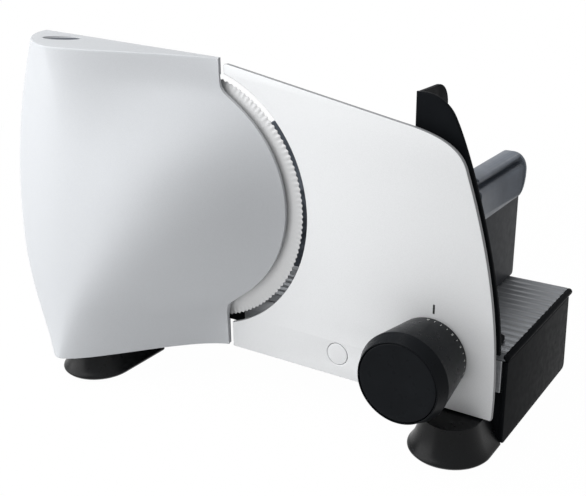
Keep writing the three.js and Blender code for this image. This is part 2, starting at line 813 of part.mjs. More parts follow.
function makeDrive() {
  const group = assembly();
  const plateBlank = alongY(chamberOutline(runningGap), drivePlateFront, drivePlateRear, 24);
  const hubHole = rodY(0, bladeAxisHeight, gearFlangeRadius + 2, drivePlateFront - 1, drivePlateRear + 1, 40);
  const postLeft = wormLength / 2 + 1;
  const postRight = postLeft + wormPostThickness;
  const post = block(
    postLeft,
    postRight,
    motorAxisY,
    drivePlateFront + 0.5,
    wormAxisZ - wormPostWidth / 2,
    wormAxisZ + wormPostWidth / 2 - wormPitchRadius,
  );
  const postBore = rodX(motorAxisY, wormAxisZ, wormRootRadius + seatGap, postLeft - 1, postRight + 1, 16);
  piece(group, "drive_plate", cut(join(cut(plateBlank, hubHole), post), postBore), "railGrey");

  const axle = rodY(0, 0, axleRadius, axleBoreEnd + seatGap, gearFace - 1, 20);
  piece(group, "blade_axle", axle, "steel").position.z = bladeAxisHeight;
  const washerFront = axleBossRear + seatGap;
  const washer = ringY(axleRadius + seatGap, hubRadius - 1, washerFront, washerFront + washerThickness);
  piece(group, "thrust_washer", washer, "bronze").position.z = bladeAxisHeight;

  const stackShape = roundedRectangle(-motorHalfDepth, motorHalfDepth, -motorHeight / 2, motorHeight / 2, 4);
  stackShape.holes.push(new THREE.Path(roundPoints(boreRadius, boreRadius, 32)));
  const slots = [];
  for (const side of [-1, 1]) {
    for (const end of [-1, 1]) {
      slots.push(slotTool(side * (slotInner + slotWidth / 2), end * (slotNear + slotHeight / 2)));
    }
  }
  const stackBody = cut(alongX(stackShape, stackLeft, stackRight, 8), ...slots);
  const stack = piece(group, "motor_stator", stackBody, "ironStack");
  stack.position.set(0, motorRear - motorHalfDepth, wormAxisZ);

  for (const [name, end] of [["field_coil_upper", 1], ["field_coil_lower", -1]]) {
    const loop = alongZ(coilShape(), slotNear + seatGap, slotNear + slotHeight - seatGap, 3);
    const coil = piece(group, name, loop, "copper");
    coil.position.set((stackLeft + stackRight) / 2, motorRear - motorHalfDepth, wormAxisZ);
    if (end < 0) coil.rotation.x = Math.PI;
  }

  const brackets = [
    ["rear_motor_bracket", "rear_shaft_bush", rearBracketX],
    ["front_motor_bracket", "front_shaft_bush", frontBracketX],
  ];
  for (const [name, bushName, x] of brackets) {
    const halfHeight = bracketHeight / 2;
    const plateShape = roundedRectangle(-motorHalfDepth, motorRear - motorAxisY, -halfHeight, halfHeight, 3);
    const bushSeat = shaftBushRadius + seatGap;
    plateShape.holes.push(new THREE.Path(roundPoints(bushSeat, bushSeat, 16)));
    const bracket = piece(group, name, alongX(plateShape, x, x + bracketThickness, 6), "railGrey");
    bracket.position.set(0, motorAxisY, wormAxisZ);
    const bushLeft = x + (bracketThickness - shaftBushLength) / 2;
    const bush = ringX(shaftRadius + seatGap, shaftBushRadius, bushLeft, bushLeft + shaftBushLength, 16);
    piece(group, bushName, bush, "bronze").position.set(0, motorAxisY, wormAxisZ);
  }

  const brushX = commutatorLeft + (commutatorLength - brushWidth) / 2 - coilEnd / 2;
  for (const [name, end] of [["carbon_brush_upper", 1], ["carbon_brush_lower", -1]]) {
    const near = commutatorRadius + seatGap;
    const half = brushWidth / 2;
    const brush = block(brushX, brushX + brushWidth, -half, half, near, near + brushLength);
    const mesh = piece(group, name, brush, "carbon");
    mesh.position.set(0, motorAxisY, wormAxisZ);
    if (end < 0) mesh.rotation.x = Math.PI;
  }
  return group;
}

// Clears one slot for a side of a field coil, through the whole length of the stack.
function slotTool(y, z) {
  const tool = new THREE.BoxGeometry(stackLength + 2, slotWidth, slotHeight);
  return tool.translate((stackLeft + stackRight) / 2, y, z);
}

// A field coil seen from above: a rounded loop whose long sides lie in the stack's slots.
function coilShape() {
  const halfStack = stackLength / 2 + 1;
  const inner = slotInner + seatGap;
  const outer = slotInner + slotWidth - seatGap;
  const shape = roundedRectangle(-halfStack - coilEnd, halfStack + coilEnd, -outer, outer, coilEnd / 2);
  shape.holes.push(roundedRectangle(-halfStack, halfStack, -inner, inner, 1));
  return shape;
}

function makeRotor() {
  const group = assembly();
  group.position.set(0, motorAxisY, wormAxisZ);
  piece(group, "motor_shaft", makeShaft(), "steel");
  const bore = shaftRadius + seatGap;
  piece(group, "armature", ringX(bore, boreRadius - airGap, stackLeft + 1, stackRight - 1, 28), "ironStack");
  const commutator = ringX(bore, commutatorRadius, commutatorLeft, commutatorLeft + commutatorLength, 20);
  piece(group, "commutator", commutator, "copper");
  return group;
}

// Button, spring and switch

function makeSwitch() {
  const fixed = assembly();
  const moving = assembly();
  const innerTop = housingTop(buttonX + buttonLong) - housingWall;
  const flangeTop = innerTop - seatGap;
  const flangeBottom = flangeTop - buttonFlange;
  const headTop = housingTop(buttonX) - buttonSink;
  const head = alongZ(oval(buttonLong, buttonShort, -runningGap), flangeBottom, headTop, 10);
  const flange = alongZ(oval(buttonLong, buttonShort, buttonLip), flangeBottom, flangeTop, 10);
  const plunger = rodZ(0, 0, plungerRadius, flangeBottom - plungerLength, flangeBottom + 1, 12);
  const button = piece(moving, "power_button", join(head, flange, plunger), "buttonGrey");
  button.position.set(buttonX, buttonY, 0);
  button.rotation.z = buttonTurn;

  const springTop = flangeBottom - seatGap;
  const spring = piece(moving, "button_spring", coilSpring(springTop - springLength, springTop), "steel");
  spring.position.set(buttonX, buttonY, 0);

  const switchTop = springTop - springLength - seatGap;
  const body = block(
    buttonX - switchWidth / 2,
    buttonX + switchWidth / 2,
    drivePlateFront - seatGap - switchDepth,
    drivePlateFront - seatGap,
    switchTop - switchHeight,
    switchTop,
  );
  piece(fixed, "switch_block", body, "blackPlastic");
}

// An open coil of round wire between two heights.
function coilSpring(low, high) {
  const meanRadius = springRadius - springWire / 2;
  class Helix extends THREE.Curve {
    getPoint(t, target = new THREE.Vector3()) {
      const angle = 2 * Math.PI * springTurns * t;
      const z = THREE.MathUtils.lerp(low + springWire / 2, high - springWire / 2, t);
      return target.set(meanRadius * Math.cos(angle), meanRadius * Math.sin(angle), z);
    }
  }
  const wire = outline(steps(4, (t) => {
    const angle = (t * 4 * 2 * Math.PI) / 5;
    return [(springWire / 2) * Math.cos(angle), (springWire / 2) * Math.sin(angle)];
  }));
  return new THREE.ExtrudeGeometry(wire, { steps: springTurns * 8, extrudePath: new Helix() });
}

// Stop plate, its guide and the thickness knob

function plateOutline() {
  const topAt = (x) => plateTopLeft + plateTopSlope * (x - plateLeft);
  const armAngle = Math.atan2(plateArmReach, plateLeft);
  const shape = new THREE.Shape();
  shape.moveTo(plateLeft, plateBottom);
  shape.lineTo(plateRight - plateCorner, plateBottom);
  shape.quadraticCurveTo(plateRight, plateBottom, plateRight, plateBottom + plateCorner);
  const foot = pulled([plateRight, plateBottom], plateFootPull);
  const flank = pulled([plateFlankX, plateFlankZ], plateFlankPull);
  const shoulder = pulled([plateFlankX, plateFlankZ], plateShoulderPull);
  shape.bezierCurveTo(...foot, ...flank, plateFlankX, plateFlankZ);
  shape.quadraticCurveTo(...shoulder, plateShoulderX, topAt(plateShoulderX));
  shape.lineTo(plateLeft + plateCorner, topAt(plateLeft + plateCorner));
  shape.quadraticCurveTo(plateLeft, plateTopLeft, plateLeft, plateTopLeft - plateCorner);
  shape.lineTo(plateLeft, bladeAxisHeight + plateArmReach);
  shape.absarc(0, bladeAxisHeight, plateArcRadius, armAngle, -armAngle, true);
  shape.closePath();
  return shape;
}

function makeStopPlate() {
  const group = assembly();
  const blank = alongY(plateOutline(), -plateThickness, 0, 20);
  const spindleHole = rodY(knobX, knobZ, knobNeckRadius + runningGap, -plateThickness - 1, 1, 24);
  const plugBack = -plateThickness + plugDepth;
  const plugSeat = rodY(plugX, plugZ, plugRadius + seatGap / 2, -plateThickness - 1, plugBack + seatGap, 24);
  piece(group, "stop_plate", cut(blank, spindleHole, plugSeat), "plateSilver");
  const plug = rodY(plugX, plugZ, plugRadius - seatGap / 2, -plateThickness, plugBack, 24);
  piece(group, "plate_plug", plug, "plateSilver");

  const bracketBack = seatGap + plateBracketThickness;
  const bracketBlank = alongY(
    roundedRectangle(bracketLeft, bracketRight, guideRodZ - guideRodRadius - 2, plateBracketTop, 3),
    seatGap,
    bracketBack,
    4,
  );
  const rodXs = [guideRodLeftX, guideRodRightX];
  const seatFloor = seatGap + rodSeatWall;
  const seatRadius = guideRodRadius + seatGap / 2;
  const rodSeats = rodXs.map((x) => rodY(x, guideRodZ, seatRadius, seatFloor, bracketBack + 1, 16));
  piece(group, "plate_bracket", cut(bracketBlank, ...rodSeats), "railGrey");
  ["guide_rod_left", "guide_rod_right"].forEach((name, i) => {
    const start = seatFloor + seatGap;
    piece(group, name, rodY(rodXs[i], guideRodZ, guideRodRadius, start, start + guideRodLength, 16), "steel");
  });
}

function makeKnob() {
  const group = assembly();
  group.position.set(knobX, 0, knobZ);
  const pocketFloor = knobFaceY + knobCapThickness + 0.6;
  const boreEnd = pocketFloor + knobWeb;
  const spindleBore = spindleRadius + runningGap;
  const body = turnedY(
    [
      [0, pocketFloor],
      [knobCapRadius + seatGap, pocketFloor],
      [knobCapRadius + seatGap, knobFaceY],
      [knobFaceRadius, knobFaceY],
      [knobRimRadius - 0.8, knobRimY - 1.6],
      [knobRimRadius, knobRimY],
      [knobBaseRadius, knobBaseY],
      [knobNeckRadius, knobBaseY],
      [knobNeckRadius, neckBack],
      [spindleBore, neckBack],
      [spindleBore, boreEnd],
      [0, boreEnd],
    ],
    40,
  );
  piece(group, "thickness_knob", body, "blackPlastic");
  const capFloor = pocketFloor - seatGap;
  const cap = turnedY(
    [
      [0, knobFaceY + 1],
      [knobCapRadius - 4, knobFaceY + 0.6],
      [knobCapRadius - 1, knobFaceY + 0.2],
      [knobCapRadius, knobFaceY + 1],
      [knobCapRadius, capFloor],
      [0, capFloor],
    ],
    40,
  );
  piece(group, "knob_cap", cap, "blackPlastic");
  const retainer = ringY(knobNeckRadius + 0.2, retainerRadius, seatGap, seatGap + retainerThickness, 24);
  piece(group, "knob_retainer", retainer, "steel");
}

// Base

function makeBase() {
  const group = assembly();
  const section = outline([
    [baseFront, frontWallBottom],
    [baseFront + baseWall, frontWallBottom],
    [baseFront + baseWall, deckTop - deckThickness],
    [baseBack - baseWall, deckTop - deckThickness],
    [baseBack - baseWall, rearWallBottom],
    [baseBack, rearWallBottom],
    [baseBack, deckTop],
    [baseFront, deckTop],
  ]);
  const toeTop = bellTop + seatGap + toeThickness;
  const toeBottom = bellTop + seatGap;
  const toe = new THREE.Shape();
  toe.moveTo(rightFootX + bellNeckRadius, baseFront + baseWall);
  toe.lineTo(rightFootX + bellNeckRadius, rightFootY);
  toe.absarc(rightFootX, rightFootY, bellNeckRadius, 0, -Math.PI, true);
  toe.lineTo(rightFootX - bellNeckRadius, baseFront + baseWall);
  toe.closePath();
  const footPosts = rearFeet().map(([x, y]) => rodZ(x, y, rearFootRadius, rearWallBottom, deckTop - 1, 16));
  const rodXs = [guideRodLeftX, guideRodRightX];
  const bossBack = baseFront + guideBossLength;
  const guideBosses = rodXs.map((x) => rodY(x, guideRodZ, guideBossRadius, baseFront, bossBack, 16));
  const guideBoreRadius = guideRodRadius + runningGap;
  const guideBores = rodXs.map((x) => rodY(x, guideRodZ, guideBoreRadius, baseFront - 1, bossBack + 1, 16));
  const armLeft = knobX - spindleArmWidth / 2;
  const armRight = knobX + spindleArmWidth / 2;
  const armTop = knobZ - spindleBossRadius / 2;
  const spindleSeatEnd = spindleBossBack - 1.2;
  const spindleSeat = rodY(knobX, knobZ, spindleRadius + seatGap, spindleBossFront - 1, spindleSeatEnd, 16);
  const runnerSlot = block(
    runnerLeft - carriageTravel - runningGap * 4,
    runnerLeft + runnerLength + runningGap * 4,
    slotFrontY - runningGap,
    slotBackY + runningGap,
    deckTop - deckThickness - 1,
    deckTop + 1,
  );
  const frame = join(
    alongX(section, baseLeft, baseRight),
    block(baseLeft, baseLeft + baseWall, baseFront, baseBack, frontWallBottom, deckTop),
    block(baseRight - baseWall, baseRight, baseFront, baseBack, rearWallBottom, deckTop),
    block(
      rightFootX - bellNeckRadius,
      rightFootX + bellNeckRadius,
      baseFront,
      baseFront + baseWall,
      toeBottom,
      frontWallBottom + 1,
    ),
    alongZ(toe, toeBottom, toeTop, 12),
    block(bridgeLeft, bridgeRight, seatGap, baseFront + 1, bridgeBottom, bridgeTop),
    block(armLeft, armRight, spindleBossFront, baseFront + 1, spindleArmBottom, armTop),
    rodY(knobX, knobZ, spindleBossRadius, spindleBossFront, spindleBossBack, 16),
    ...footPosts,
    ...guideBosses,
  );
  piece(group, "base_frame", cut(frame, runnerSlot, spindleSeat, ...guideBores), "blackPlastic");

  const spindle = rodY(knobX, knobZ, spindleRadius, spindleFront, spindleSeatEnd - seatGap, 16);
  piece(group, "thickness_spindle", spindle, "steel");

  const railBack = baseFront - seatGap;
  const railTop = deckTop - seatGap;
  const railShape = outline([
    [railLeft, railBottom],
    [baseRight, railBottom],
    [baseRight, railTop],
    [armRight + runningGap, railTop],
    [armRight + runningGap, spindleArmBottom - runningGap],
    [armLeft - runningGap, spindleArmBottom - runningGap],
    [armLeft - runningGap, railTop],
    [railLeft, railTop],
  ]);
  piece(group, "front_rail", alongY(railShape, railBack - railThickness, railBack), "railGrey");

  const panelBottom = rearWallBottom - 0.2;
  const panelTop = deckTop - seatGap;
  const panel = new THREE.Shape();
  panel.moveTo(panelFront + panelCorner, panelBottom);
  panel.lineTo(panelBack - panelCorner, panelBottom);
  panel.quadraticCurveTo(panelBack, panelBottom, panelBack, panelBottom + panelCorner);
  panel.lineTo(baseBack, panelTop);
  panel.lineTo(panelFront, panelTop);
  panel.lineTo(panelFront, panelBottom + panelCorner);
  panel.quadraticCurveTo(panelFront, panelBottom, panelFront + panelCorner, panelBottom);
  piece(group, "end_panel", alongX(panel, baseRight + seatGap, panelFace, 5), "blackPlastic");

  makeFeet(group);
}

function rearFeet() {
  return [
    [baseLeft + rearFootInset + baseWall, baseBack - rearFootInset],
    [baseRight - rearFootInset - baseWall, baseBack - rearFootInset],
  ];
}

// Half outline of a bell foot from its middle to its flank, as [half width, height] pairs.
function bellProfile(top) {
  const bottom = padThickness + seatGap;
  const lip = new THREE.Vector2(bellRadius, bottom + bellLip);
  const waist = new THREE.Vector2(bellNeckRadius, bottom + bellWaist);
  const neck = new THREE.Vector2(bellNeckRadius, top);
  const flank = new THREE.QuadraticBezierCurve(lip, waist, neck).getPoints(6);
  return [[0, bottom], [bellRadius - bellLip, bottom], ...flank.map((p) => [p.x, p.y]), [0, top]];
}

// A foot with a round front that runs straight back for a length.
function bellFoot(top, length) {
  const half = bellProfile(top);
  const mirrored = half.slice(1, -1).map(([a, b]) => [-a, b]);
  const run = alongY(outline([...half.slice(1, -1), ...mirrored.reverse()]), 0, length);
  return join(turnedZ(half, 36), run);
}

// Bell feet under the front, plain pads under the back, all standing on the table.
function makeFeet(group) {
  const rightFoot = bellFoot(bellTop, panelFront - runningGap - rightFootY);
  piece(group, "right_bell_foot", rightFoot, "blackPlastic").position.set(rightFootX, rightFootY, 0);

  const underside = housingBottom(leftFootX) - seatGap;
  const slope = Math.atan(housingBottomDrop);
  const above = new THREE.BoxGeometry(8 * bellRadius, 8 * bellRadius, 2 * bellTop).translate(0, 0, bellTop);
  above.rotateY(-slope).translate(0, 0, underside);
  const leftFoot = cut(bellFoot(underside + bellNeckRadius / 4, leftFootEnd - leftFootY), above);
  piece(group, "left_bell_foot", leftFoot, "blackPlastic").position.set(leftFootX, leftFootY, 0);

  const pads = [
    ["right_foot_pad", rightFootX, rightFootY],
    ["left_foot_pad", leftFootX, leftFootY],
  ];
  for (const [name, x, y] of pads) {
    piece(group, name, rodZ(0, 0, padRadius, 0, padThickness, 24), "rubber").position.set(x, y, 0);
  }
  ["rear_left_foot", "rear_right_foot"].forEach((name, i) => {
    const [x, y] = rearFeet()[i];
    const foot = rodZ(0, 0, rearFootRadius + 1, 0, rearWallBottom - seatGap, 20);
    piece(group, name, foot, "rubber").position.set(x, y, 0);
  });
}

// Carriage

function traySection() {
  const pitch = (trayBack - trayFront) / ribCount;
  const ribWidth = pitch * ribShare;
  const grooveZ = trayTop - ribHeight;
  const shape = new THREE.Shape();
  shape.moveTo(trayFront, trayBottom);
  shape.lineTo(trayBack, trayBottom);
  for (let i = ribCount - 1; i >= 0; i -= 1) {
    const ribBack = trayFront + pitch * (i + 1);
    shape.lineTo(ribBack, trayTop);
    shape.lineTo(ribBack - ribWidth, trayTop);
    if (i > 0) {
      shape.lineTo(ribBack - ribWidth - 0.3, grooveZ);
      shape.lineTo(ribBack - pitch + 0.3, grooveZ);
    }
  }
  shape.lineTo(trayFront, trayTop);
  shape.closePath();
  return shape;
}

function makeCarriage() {
  const group = assembly();
  piece(group, "carriage_tray", alongX(traySection(), trayLeft, trayRight), "trayGrey");

  const bead = rodY(beadX, beadZ, beadRadius, guardBack + seatGap, beadBack, 20);
  piece(group, "tray_end_bead", bead, "blackPlastic");

  const lipBottom = deckTop - deckThickness - runningGap - runnerLipThickness;
  const runner = outline([
    [slotFrontY - runnerLip, lipBottom],
    [slotBackY + runnerLip, lipBottom],
    [slotBackY + runnerLip, lipBottom + runnerLipThickness],
    [slotBackY, lipBottom + runnerLipThickness],
    [slotBackY, trayBottom - seatGap],
    [slotFrontY, trayBottom - seatGap],
    [slotFrontY, lipBottom + runnerLipThickness],
    [slotFrontY - runnerLip, lipBottom + runnerLipThickness],
  ]);
  piece(group, "carriage_runner", alongX(runner, runnerLeft, runnerLeft + runnerLength), "blackPlastic");

  const wallFront = guardBack + seatGap;
  const wallSide = roundedRectangle(wallFront, wallBack, trayTop + seatGap, wallTop, 3);
  piece(group, "carriage_wall", alongX(wallSide, wallX, wallX + wallThickness, 4), "darkGrey");

  makeGuard(group);
  makePusher();
}

// Guard for the hand: a tall front plate, a wing turned back at its left edge and a foot on the tray.
function makeGuard(group) {
  const front = new THREE.Shape();
  front.moveTo(guardLeft, guardBottom);
  front.lineTo(guardRightFoot, guardBottom);
  const brow = pulled([guardRightFoot, guardTop], guardBrow);
  front.bezierCurveTo(guardRightFoot, guardBottom + guardFootPull, ...pulled(brow, guardBrowPull), ...brow);
  const crown = guardLeft + guardCrownFlat;
  front.bezierCurveTo(...pulled(brow, guardCrownPull), crown + 2 * guardCrownFlat, guardTop, crown, guardTop);
  front.lineTo(guardLeft, guardTop);
  front.closePath();
  const wing = new THREE.Shape();
  wing.moveTo(guardFront, wingBottom);
  wing.lineTo(guardBack + wingDepth - wingRound, wingBottom);
  wing.quadraticCurveTo(guardBack + wingDepth, wingBottom, guardBack + wingDepth, wingBottom + wingRound);
  wing.lineTo(guardBack + wingDepth, guardTop - wingRound);
  wing.quadraticCurveTo(guardBack + wingDepth, guardTop, guardBack + wingDepth - wingRound, guardTop);
  wing.lineTo(guardFront, guardTop);
  wing.closePath();
  const footLeft = wallX + wallThickness + 2;
  const footRight = guardRightFoot - 4;
  const footBottom = trayTop + seatGap;
  const footBack = guardBack + guardFlangeLength;
  const foot = block(footLeft, footRight, guardFront + 1, footBack, footBottom, footBottom + guardThickness);
  const guard = join(
    alongY(front, guardFront, guardBack, 12),
    alongX(wing, guardLeft, guardLeft + guardThickness, 6),
    foot,
  );
  piece(group, "hand_guard", guard, "blackPlastic");
  const footTop = footBottom + guardThickness + seatGap;
  [footLeft + 8, footRight - 8].forEach((x, i) => {
    const head = slottedScrew(guardScrewRadius, guardScrewHead);
    const screw = piece(group, `guard_screw_${i + 1}`, head, "steel");
    screw.rotation.x = Math.PI / 2;
    screw.position.set(x, guardBack + guardFlangeLength / 2, footTop + guardScrewHead);
  });
}

// Section of the saddle over the carriage wall, given the outline of its outer side from the bottom up.
function saddleSection(drawOuterSide) {
  const inner = wallX - runningGap;
  const outer = wallX + wallThickness + runningGap;
  const shape = new THREE.Shape();
  shape.moveTo(inner - saddleWall, saddleInnerBottom);
  shape.lineTo(inner, saddleInnerBottom);
  shape.lineTo(inner, wallTop + runningGap);
  shape.lineTo(outer, wallTop + runningGap);
  shape.lineTo(outer, saddleOuterBottom);
  shape.lineTo(outer + faceHem, saddleOuterBottom);
  drawOuterSide(shape, outer + faceWall);
  shape.quadraticCurveTo(inner - saddleWall, saddleTop, inner - saddleWall, saddleTop - saddleCorner);
  shape.closePath();
  return shape;
}

// A flat face, a finger slot above it and a roll over the top.
function drawGrip(shape, face) {
  const lip = face - endFlangeProud;
  const slotEnd = lip - fingerSlotDepth;
  const faceTop = fingerSlotFloor - fingerSlotDepth / 2;
  shape.lineTo(face, saddleOuterBottom + faceHemHeight);
  shape.lineTo(face, faceTop);
  shape.quadraticCurveTo(face, fingerSlotFloor, slotEnd, fingerSlotFloor);
  shape.lineTo(slotEnd, fingerSlotTop);
  shape.lineTo(lip, fingerSlotTop);
  shape.quadraticCurveTo(lip, saddleTop, lip - saddleCorner, saddleTop);
}

// The flange that closes the slot at the saddle's back end.
function drawFlange(shape, face) {
  const proud = face + endFlangeProud;
  shape.quadraticCurveTo(proud, saddleOuterBottom + faceHemHeight, proud, endFlangeWidest);
  shape.quadraticCurveTo(proud, saddleTop, proud - saddleCorner, saddleTop);
}

// Saddle over the carriage wall, with a rolled grip, and a spiked plate on the food side.
function makePusher() {
  const group = assembly();
  const inner = wallX - runningGap;
  const saddle = alongY(saddleSection(drawGrip), pusherFront, pusherBack - 1, 6);
  const flange = alongY(saddleSection(drawFlange), pusherBack - endFlangeThickness, pusherBack, 6);
  const plateBack = pusherFront + pusherPlateThickness;
  const plate = new THREE.Shape();
  plate.moveTo(pusherPlateLeft, pusherPlateBottom);
  plate.lineTo(inner - seatGap, pusherPlateBottom);
  plate.lineTo(inner - seatGap, pusherShoulderTop);
  plate.lineTo(pusherShoulderX, pusherShoulderTop);
  plate.lineTo(pusherShoulderX, pusherPlateTop);
  plate.lineTo(pusherPlateLeft + pusherCorner, pusherPlateTop);
  const cornerZ = pusherPlateTop - pusherCorner;
  plate.absarc(pusherPlateLeft + pusherCorner, cornerZ, pusherCorner, Math.PI / 2, Math.PI);
  plate.closePath();
  const spikes = [];
  const columnPitch = (pusherShoulderX - pusherPlateLeft) / (spikeColumns + 1);
  const rowPitch = (pusherShoulderTop - pusherPlateBottom) / (spikeRows + 1);
  for (let row = 1; row <= spikeRows; row += 1) {
    for (let column = 1; column <= spikeColumns; column += 1) {
      const spike = new THREE.ConeGeometry(spikeRadius, spikeHeight + 1, 6).rotateX(Math.PI);
      const x = pusherPlateLeft + columnPitch * column;
      const z = pusherPlateBottom + rowPitch * row;
      spikes.push(spike.translate(x, pusherFront + 0.5 - spikeHeight / 2, z));
    }
  }
  const body = join(
    saddle,
    flange,
    alongY(plate, pusherFront, plateBack, 4),
    ...spikes,
  );
  piece(group, "food_pusher", body, "darkGrey");
}

makeBase();
makeHousing();
makeDrive();
makeRotor();
makeBlade();
makeSwitch();
makeStopPlate();
makeKnob();
makeCarriage();

// The part's origin is on the table, under the middle of its box.
const box = new THREE.Box3().setFromObject(slicer);
const middle = box.getCenter(new THREE.Vector3());
slicer.position.set(-middle.x, -middle.y, -box.min.z);

const part = new THREE.Group();
part.add(slicer);
export default part;
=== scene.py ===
import math

import bmesh
import bpy
import numpy as np
from mathutils import Matrix, Vector
from mathutils.geometry import tessellate_polygon


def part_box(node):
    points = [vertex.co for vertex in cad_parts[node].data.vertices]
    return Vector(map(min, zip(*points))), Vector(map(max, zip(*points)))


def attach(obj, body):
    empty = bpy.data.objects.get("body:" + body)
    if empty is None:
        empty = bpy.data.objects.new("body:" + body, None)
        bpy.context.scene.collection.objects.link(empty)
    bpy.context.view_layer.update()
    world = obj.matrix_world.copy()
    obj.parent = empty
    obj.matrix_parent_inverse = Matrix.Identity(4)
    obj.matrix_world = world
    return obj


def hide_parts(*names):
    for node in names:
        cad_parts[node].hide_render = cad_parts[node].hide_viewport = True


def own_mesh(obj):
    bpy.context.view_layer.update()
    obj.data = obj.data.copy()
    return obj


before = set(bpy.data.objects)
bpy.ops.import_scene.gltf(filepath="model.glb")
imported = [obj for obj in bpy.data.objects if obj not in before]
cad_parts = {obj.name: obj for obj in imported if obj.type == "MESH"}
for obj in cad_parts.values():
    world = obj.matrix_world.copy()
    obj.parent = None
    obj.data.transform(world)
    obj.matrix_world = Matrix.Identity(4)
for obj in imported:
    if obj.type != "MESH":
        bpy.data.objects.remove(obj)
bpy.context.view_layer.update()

# Shapes are in millimetres from the bench zero: on the blade's axis, in its cutting plane, at the table.
mm = 0.001
bladeAxis = 130.0
bladeLow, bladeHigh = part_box("blade")
benchZero = np.array([
    (bladeLow.x + bladeHigh.x) / 2,
    bladeHigh.y,
    (bladeLow.z + bladeHigh.z) / 2 - bladeAxis * mm,
])
axleSpot = (0, 0, bladeAxis)
bladeCentre = benchZero + np.array(axleSpot) * mm
mergeDistance = 1e-6
creaseAngle = 40
print("frame loaded, bench zero", benchZero.round(4))


class Values(dict):
    # A piece's dictionary. Its values are also read with a dot, or several at once by pick.
    __getattr__ = dict.__getitem__

    def pick(self, names):
        return [self[name] for name in names.split()]


def mix(low, high, share):
    return low + (high - low) * share


def xyz(x, y, z):
    return np.stack(np.broadcast_arrays(x, y, z), axis=-1)


# Outlines

def arc(centre, radius, start, end, count=24):
    turn = np.radians(np.linspace(start, end, count))
    return np.array(centre) + radius * np.stack([np.cos(turn), np.sin(turn)], axis=1)


def fullTurn(count):
    return np.linspace(0, 2 * math.pi, count, endpoint=False)


def circle(centre, radius, count=64):
    return arc(centre, radius, 0, 360, count + 1)[:-1]


def line(start, end, count=40):
    return np.linspace(start, end, count)


def rectangle(left, right, low, high):
    return [(left, low), (right, low), (right, high), (left, high)]


def bezier(start, startPull, endPull, end, count=24):
    t = np.linspace(0, 1, count)[:, None]
    shares = [(1 - t) ** 3, 3 * t * (1 - t) ** 2, 3 * t ** 2 * (1 - t), t ** 3]
    points = np.array([start, startPull, endPull, end], float)
    return sum(share * point for share, point in zip(shares, points))


def joinPaths(*paths):
    # one path, without points that lie on the one before
    path = np.concatenate([np.atleast_2d(np.asarray(part, float)) for part in paths])
    step = np.linalg.norm(path - np.roll(path, 1, axis=0), axis=1)
    return path[step > 1e-4]


def quarterRound(radius, steps=5):
    # how far a quarter round still stands in, and how far it has come along, at each step
    turn = np.linspace(0, math.pi / 2, steps + 1)
    return radius * (1 - np.sin(turn)), radius * (1 - np.cos(turn))


def roundCorners(corners, radii, count=7, closed=True):
    # Each corner is replaced by an arc that touches both its edges.
    corners = np.asarray(corners, float)
    path = []
    for number, corner in enumerate(corners):
        radius = radii[number] if np.ndim(radii) else radii
        if radius == 0 or (not closed and number in (0, len(corners) - 1)):
            path.append(corner[None])
            continue
        back = corners[number - 1] - corner
        ahead = corners[(number + 1) % len(corners)] - corner
        back /= np.linalg.norm(back)
        ahead /= np.linalg.norm(ahead)
        half = math.acos(np.clip(back @ ahead, -1, 1)) / 2
        middle = (back + ahead) / np.linalg.norm(back + ahead)
        centre = corner + middle * radius / math.sin(half)
        reach = np.linspace(-1, 1, count)[:, None] * (math.pi / 2 - half)
        side = (ahead - back) / np.linalg.norm(ahead - back)
        path.append(centre + radius * (np.sin(reach) * side - np.cos(reach) * middle))
    return np.concatenate(path)


def inwardNormals(loop, leastSquare=1.2):
    # Each point's two edge normals on the material's side, averaged and lengthened to a mitre with a limit.
    along = np.roll(loop, -1, axis=0) - loop
    along /= np.linalg.norm(along, axis=1, keepdims=True)
    left = np.stack([-along[:, 1], along[:, 0]], axis=1)
    both = left + np.roll(left, 1, axis=0)
    return 2 * both / np.maximum((both ** 2).sum(axis=1, keepdims=True), leastSquare)


def wound(loop, anticlockwise):
    nextPoint = np.roll(loop, -1, axis=0)
    area = (loop[:, 0] * nextPoint[:, 1] - nextPoint[:, 0] * loop[:, 1]).sum()
    return loop if (area > 0) == anticlockwise else loop[::-1]


# Meshes

def placed(name, data):
    thing = bpy.data.objects.new(name, data)
    bpy.context.scene.collection.objects.link(thing)
    return thing


def gridFaces(rows, columns, wrapRows=False, start=0):
    # four-sided faces between rows of points, each row closed on itself
    i = np.arange(rows if wrapRows else rows - 1)[:, None]
    j = np.arange(columns)[None, :]
    row = i * columns
    nextRow = (i + 1) % rows * columns
    nextColumn = (j + 1) % columns
    corners = [row + j, row + nextColumn, nextRow + nextColumn, nextRow + j]
    return (start + np.stack(corners, axis=-1).reshape(-1, 4)).tolist()


def newPiece(name, points, faces, flatFrom=None, sharp=creaseAngle):
    # faces from flatFrom on are flat caps; the rest are smooth, up to the sharp angle in degrees
    mesh = bpy.data.meshes.new(name)
    mesh.from_pydata((np.asarray(points).reshape(-1, 3) * mm + benchZero).tolist(), [], faces)
    shape = bmesh.new()
    shape.from_mesh(mesh)
    for number, face in enumerate(shape.faces):
        face.smooth = flatFrom is None or number < flatFrom
    bmesh.ops.remove_doubles(shape, verts=shape.verts, dist=mergeDistance)
    bmesh.ops.recalc_face_normals(shape, faces=shape.faces)
    shape.to_mesh(mesh)
    shape.free()
    mesh.set_sharp_from_angle(angle=math.radians(sharp))
    return placed(name, mesh)


def ringStack(name, rings, sharp=creaseAngle):
    # A skin over closed rings, rows by columns by xyz, with a flat end on the first and the last.
    rows, columns = rings.shape[:2]
    sides = gridFaces(rows, columns)
    ends = [list(range(columns)), list(range((rows - 1) * columns, rows * columns))]
    return newPiece(name, rings, sides + ends, len(sides), sharp)


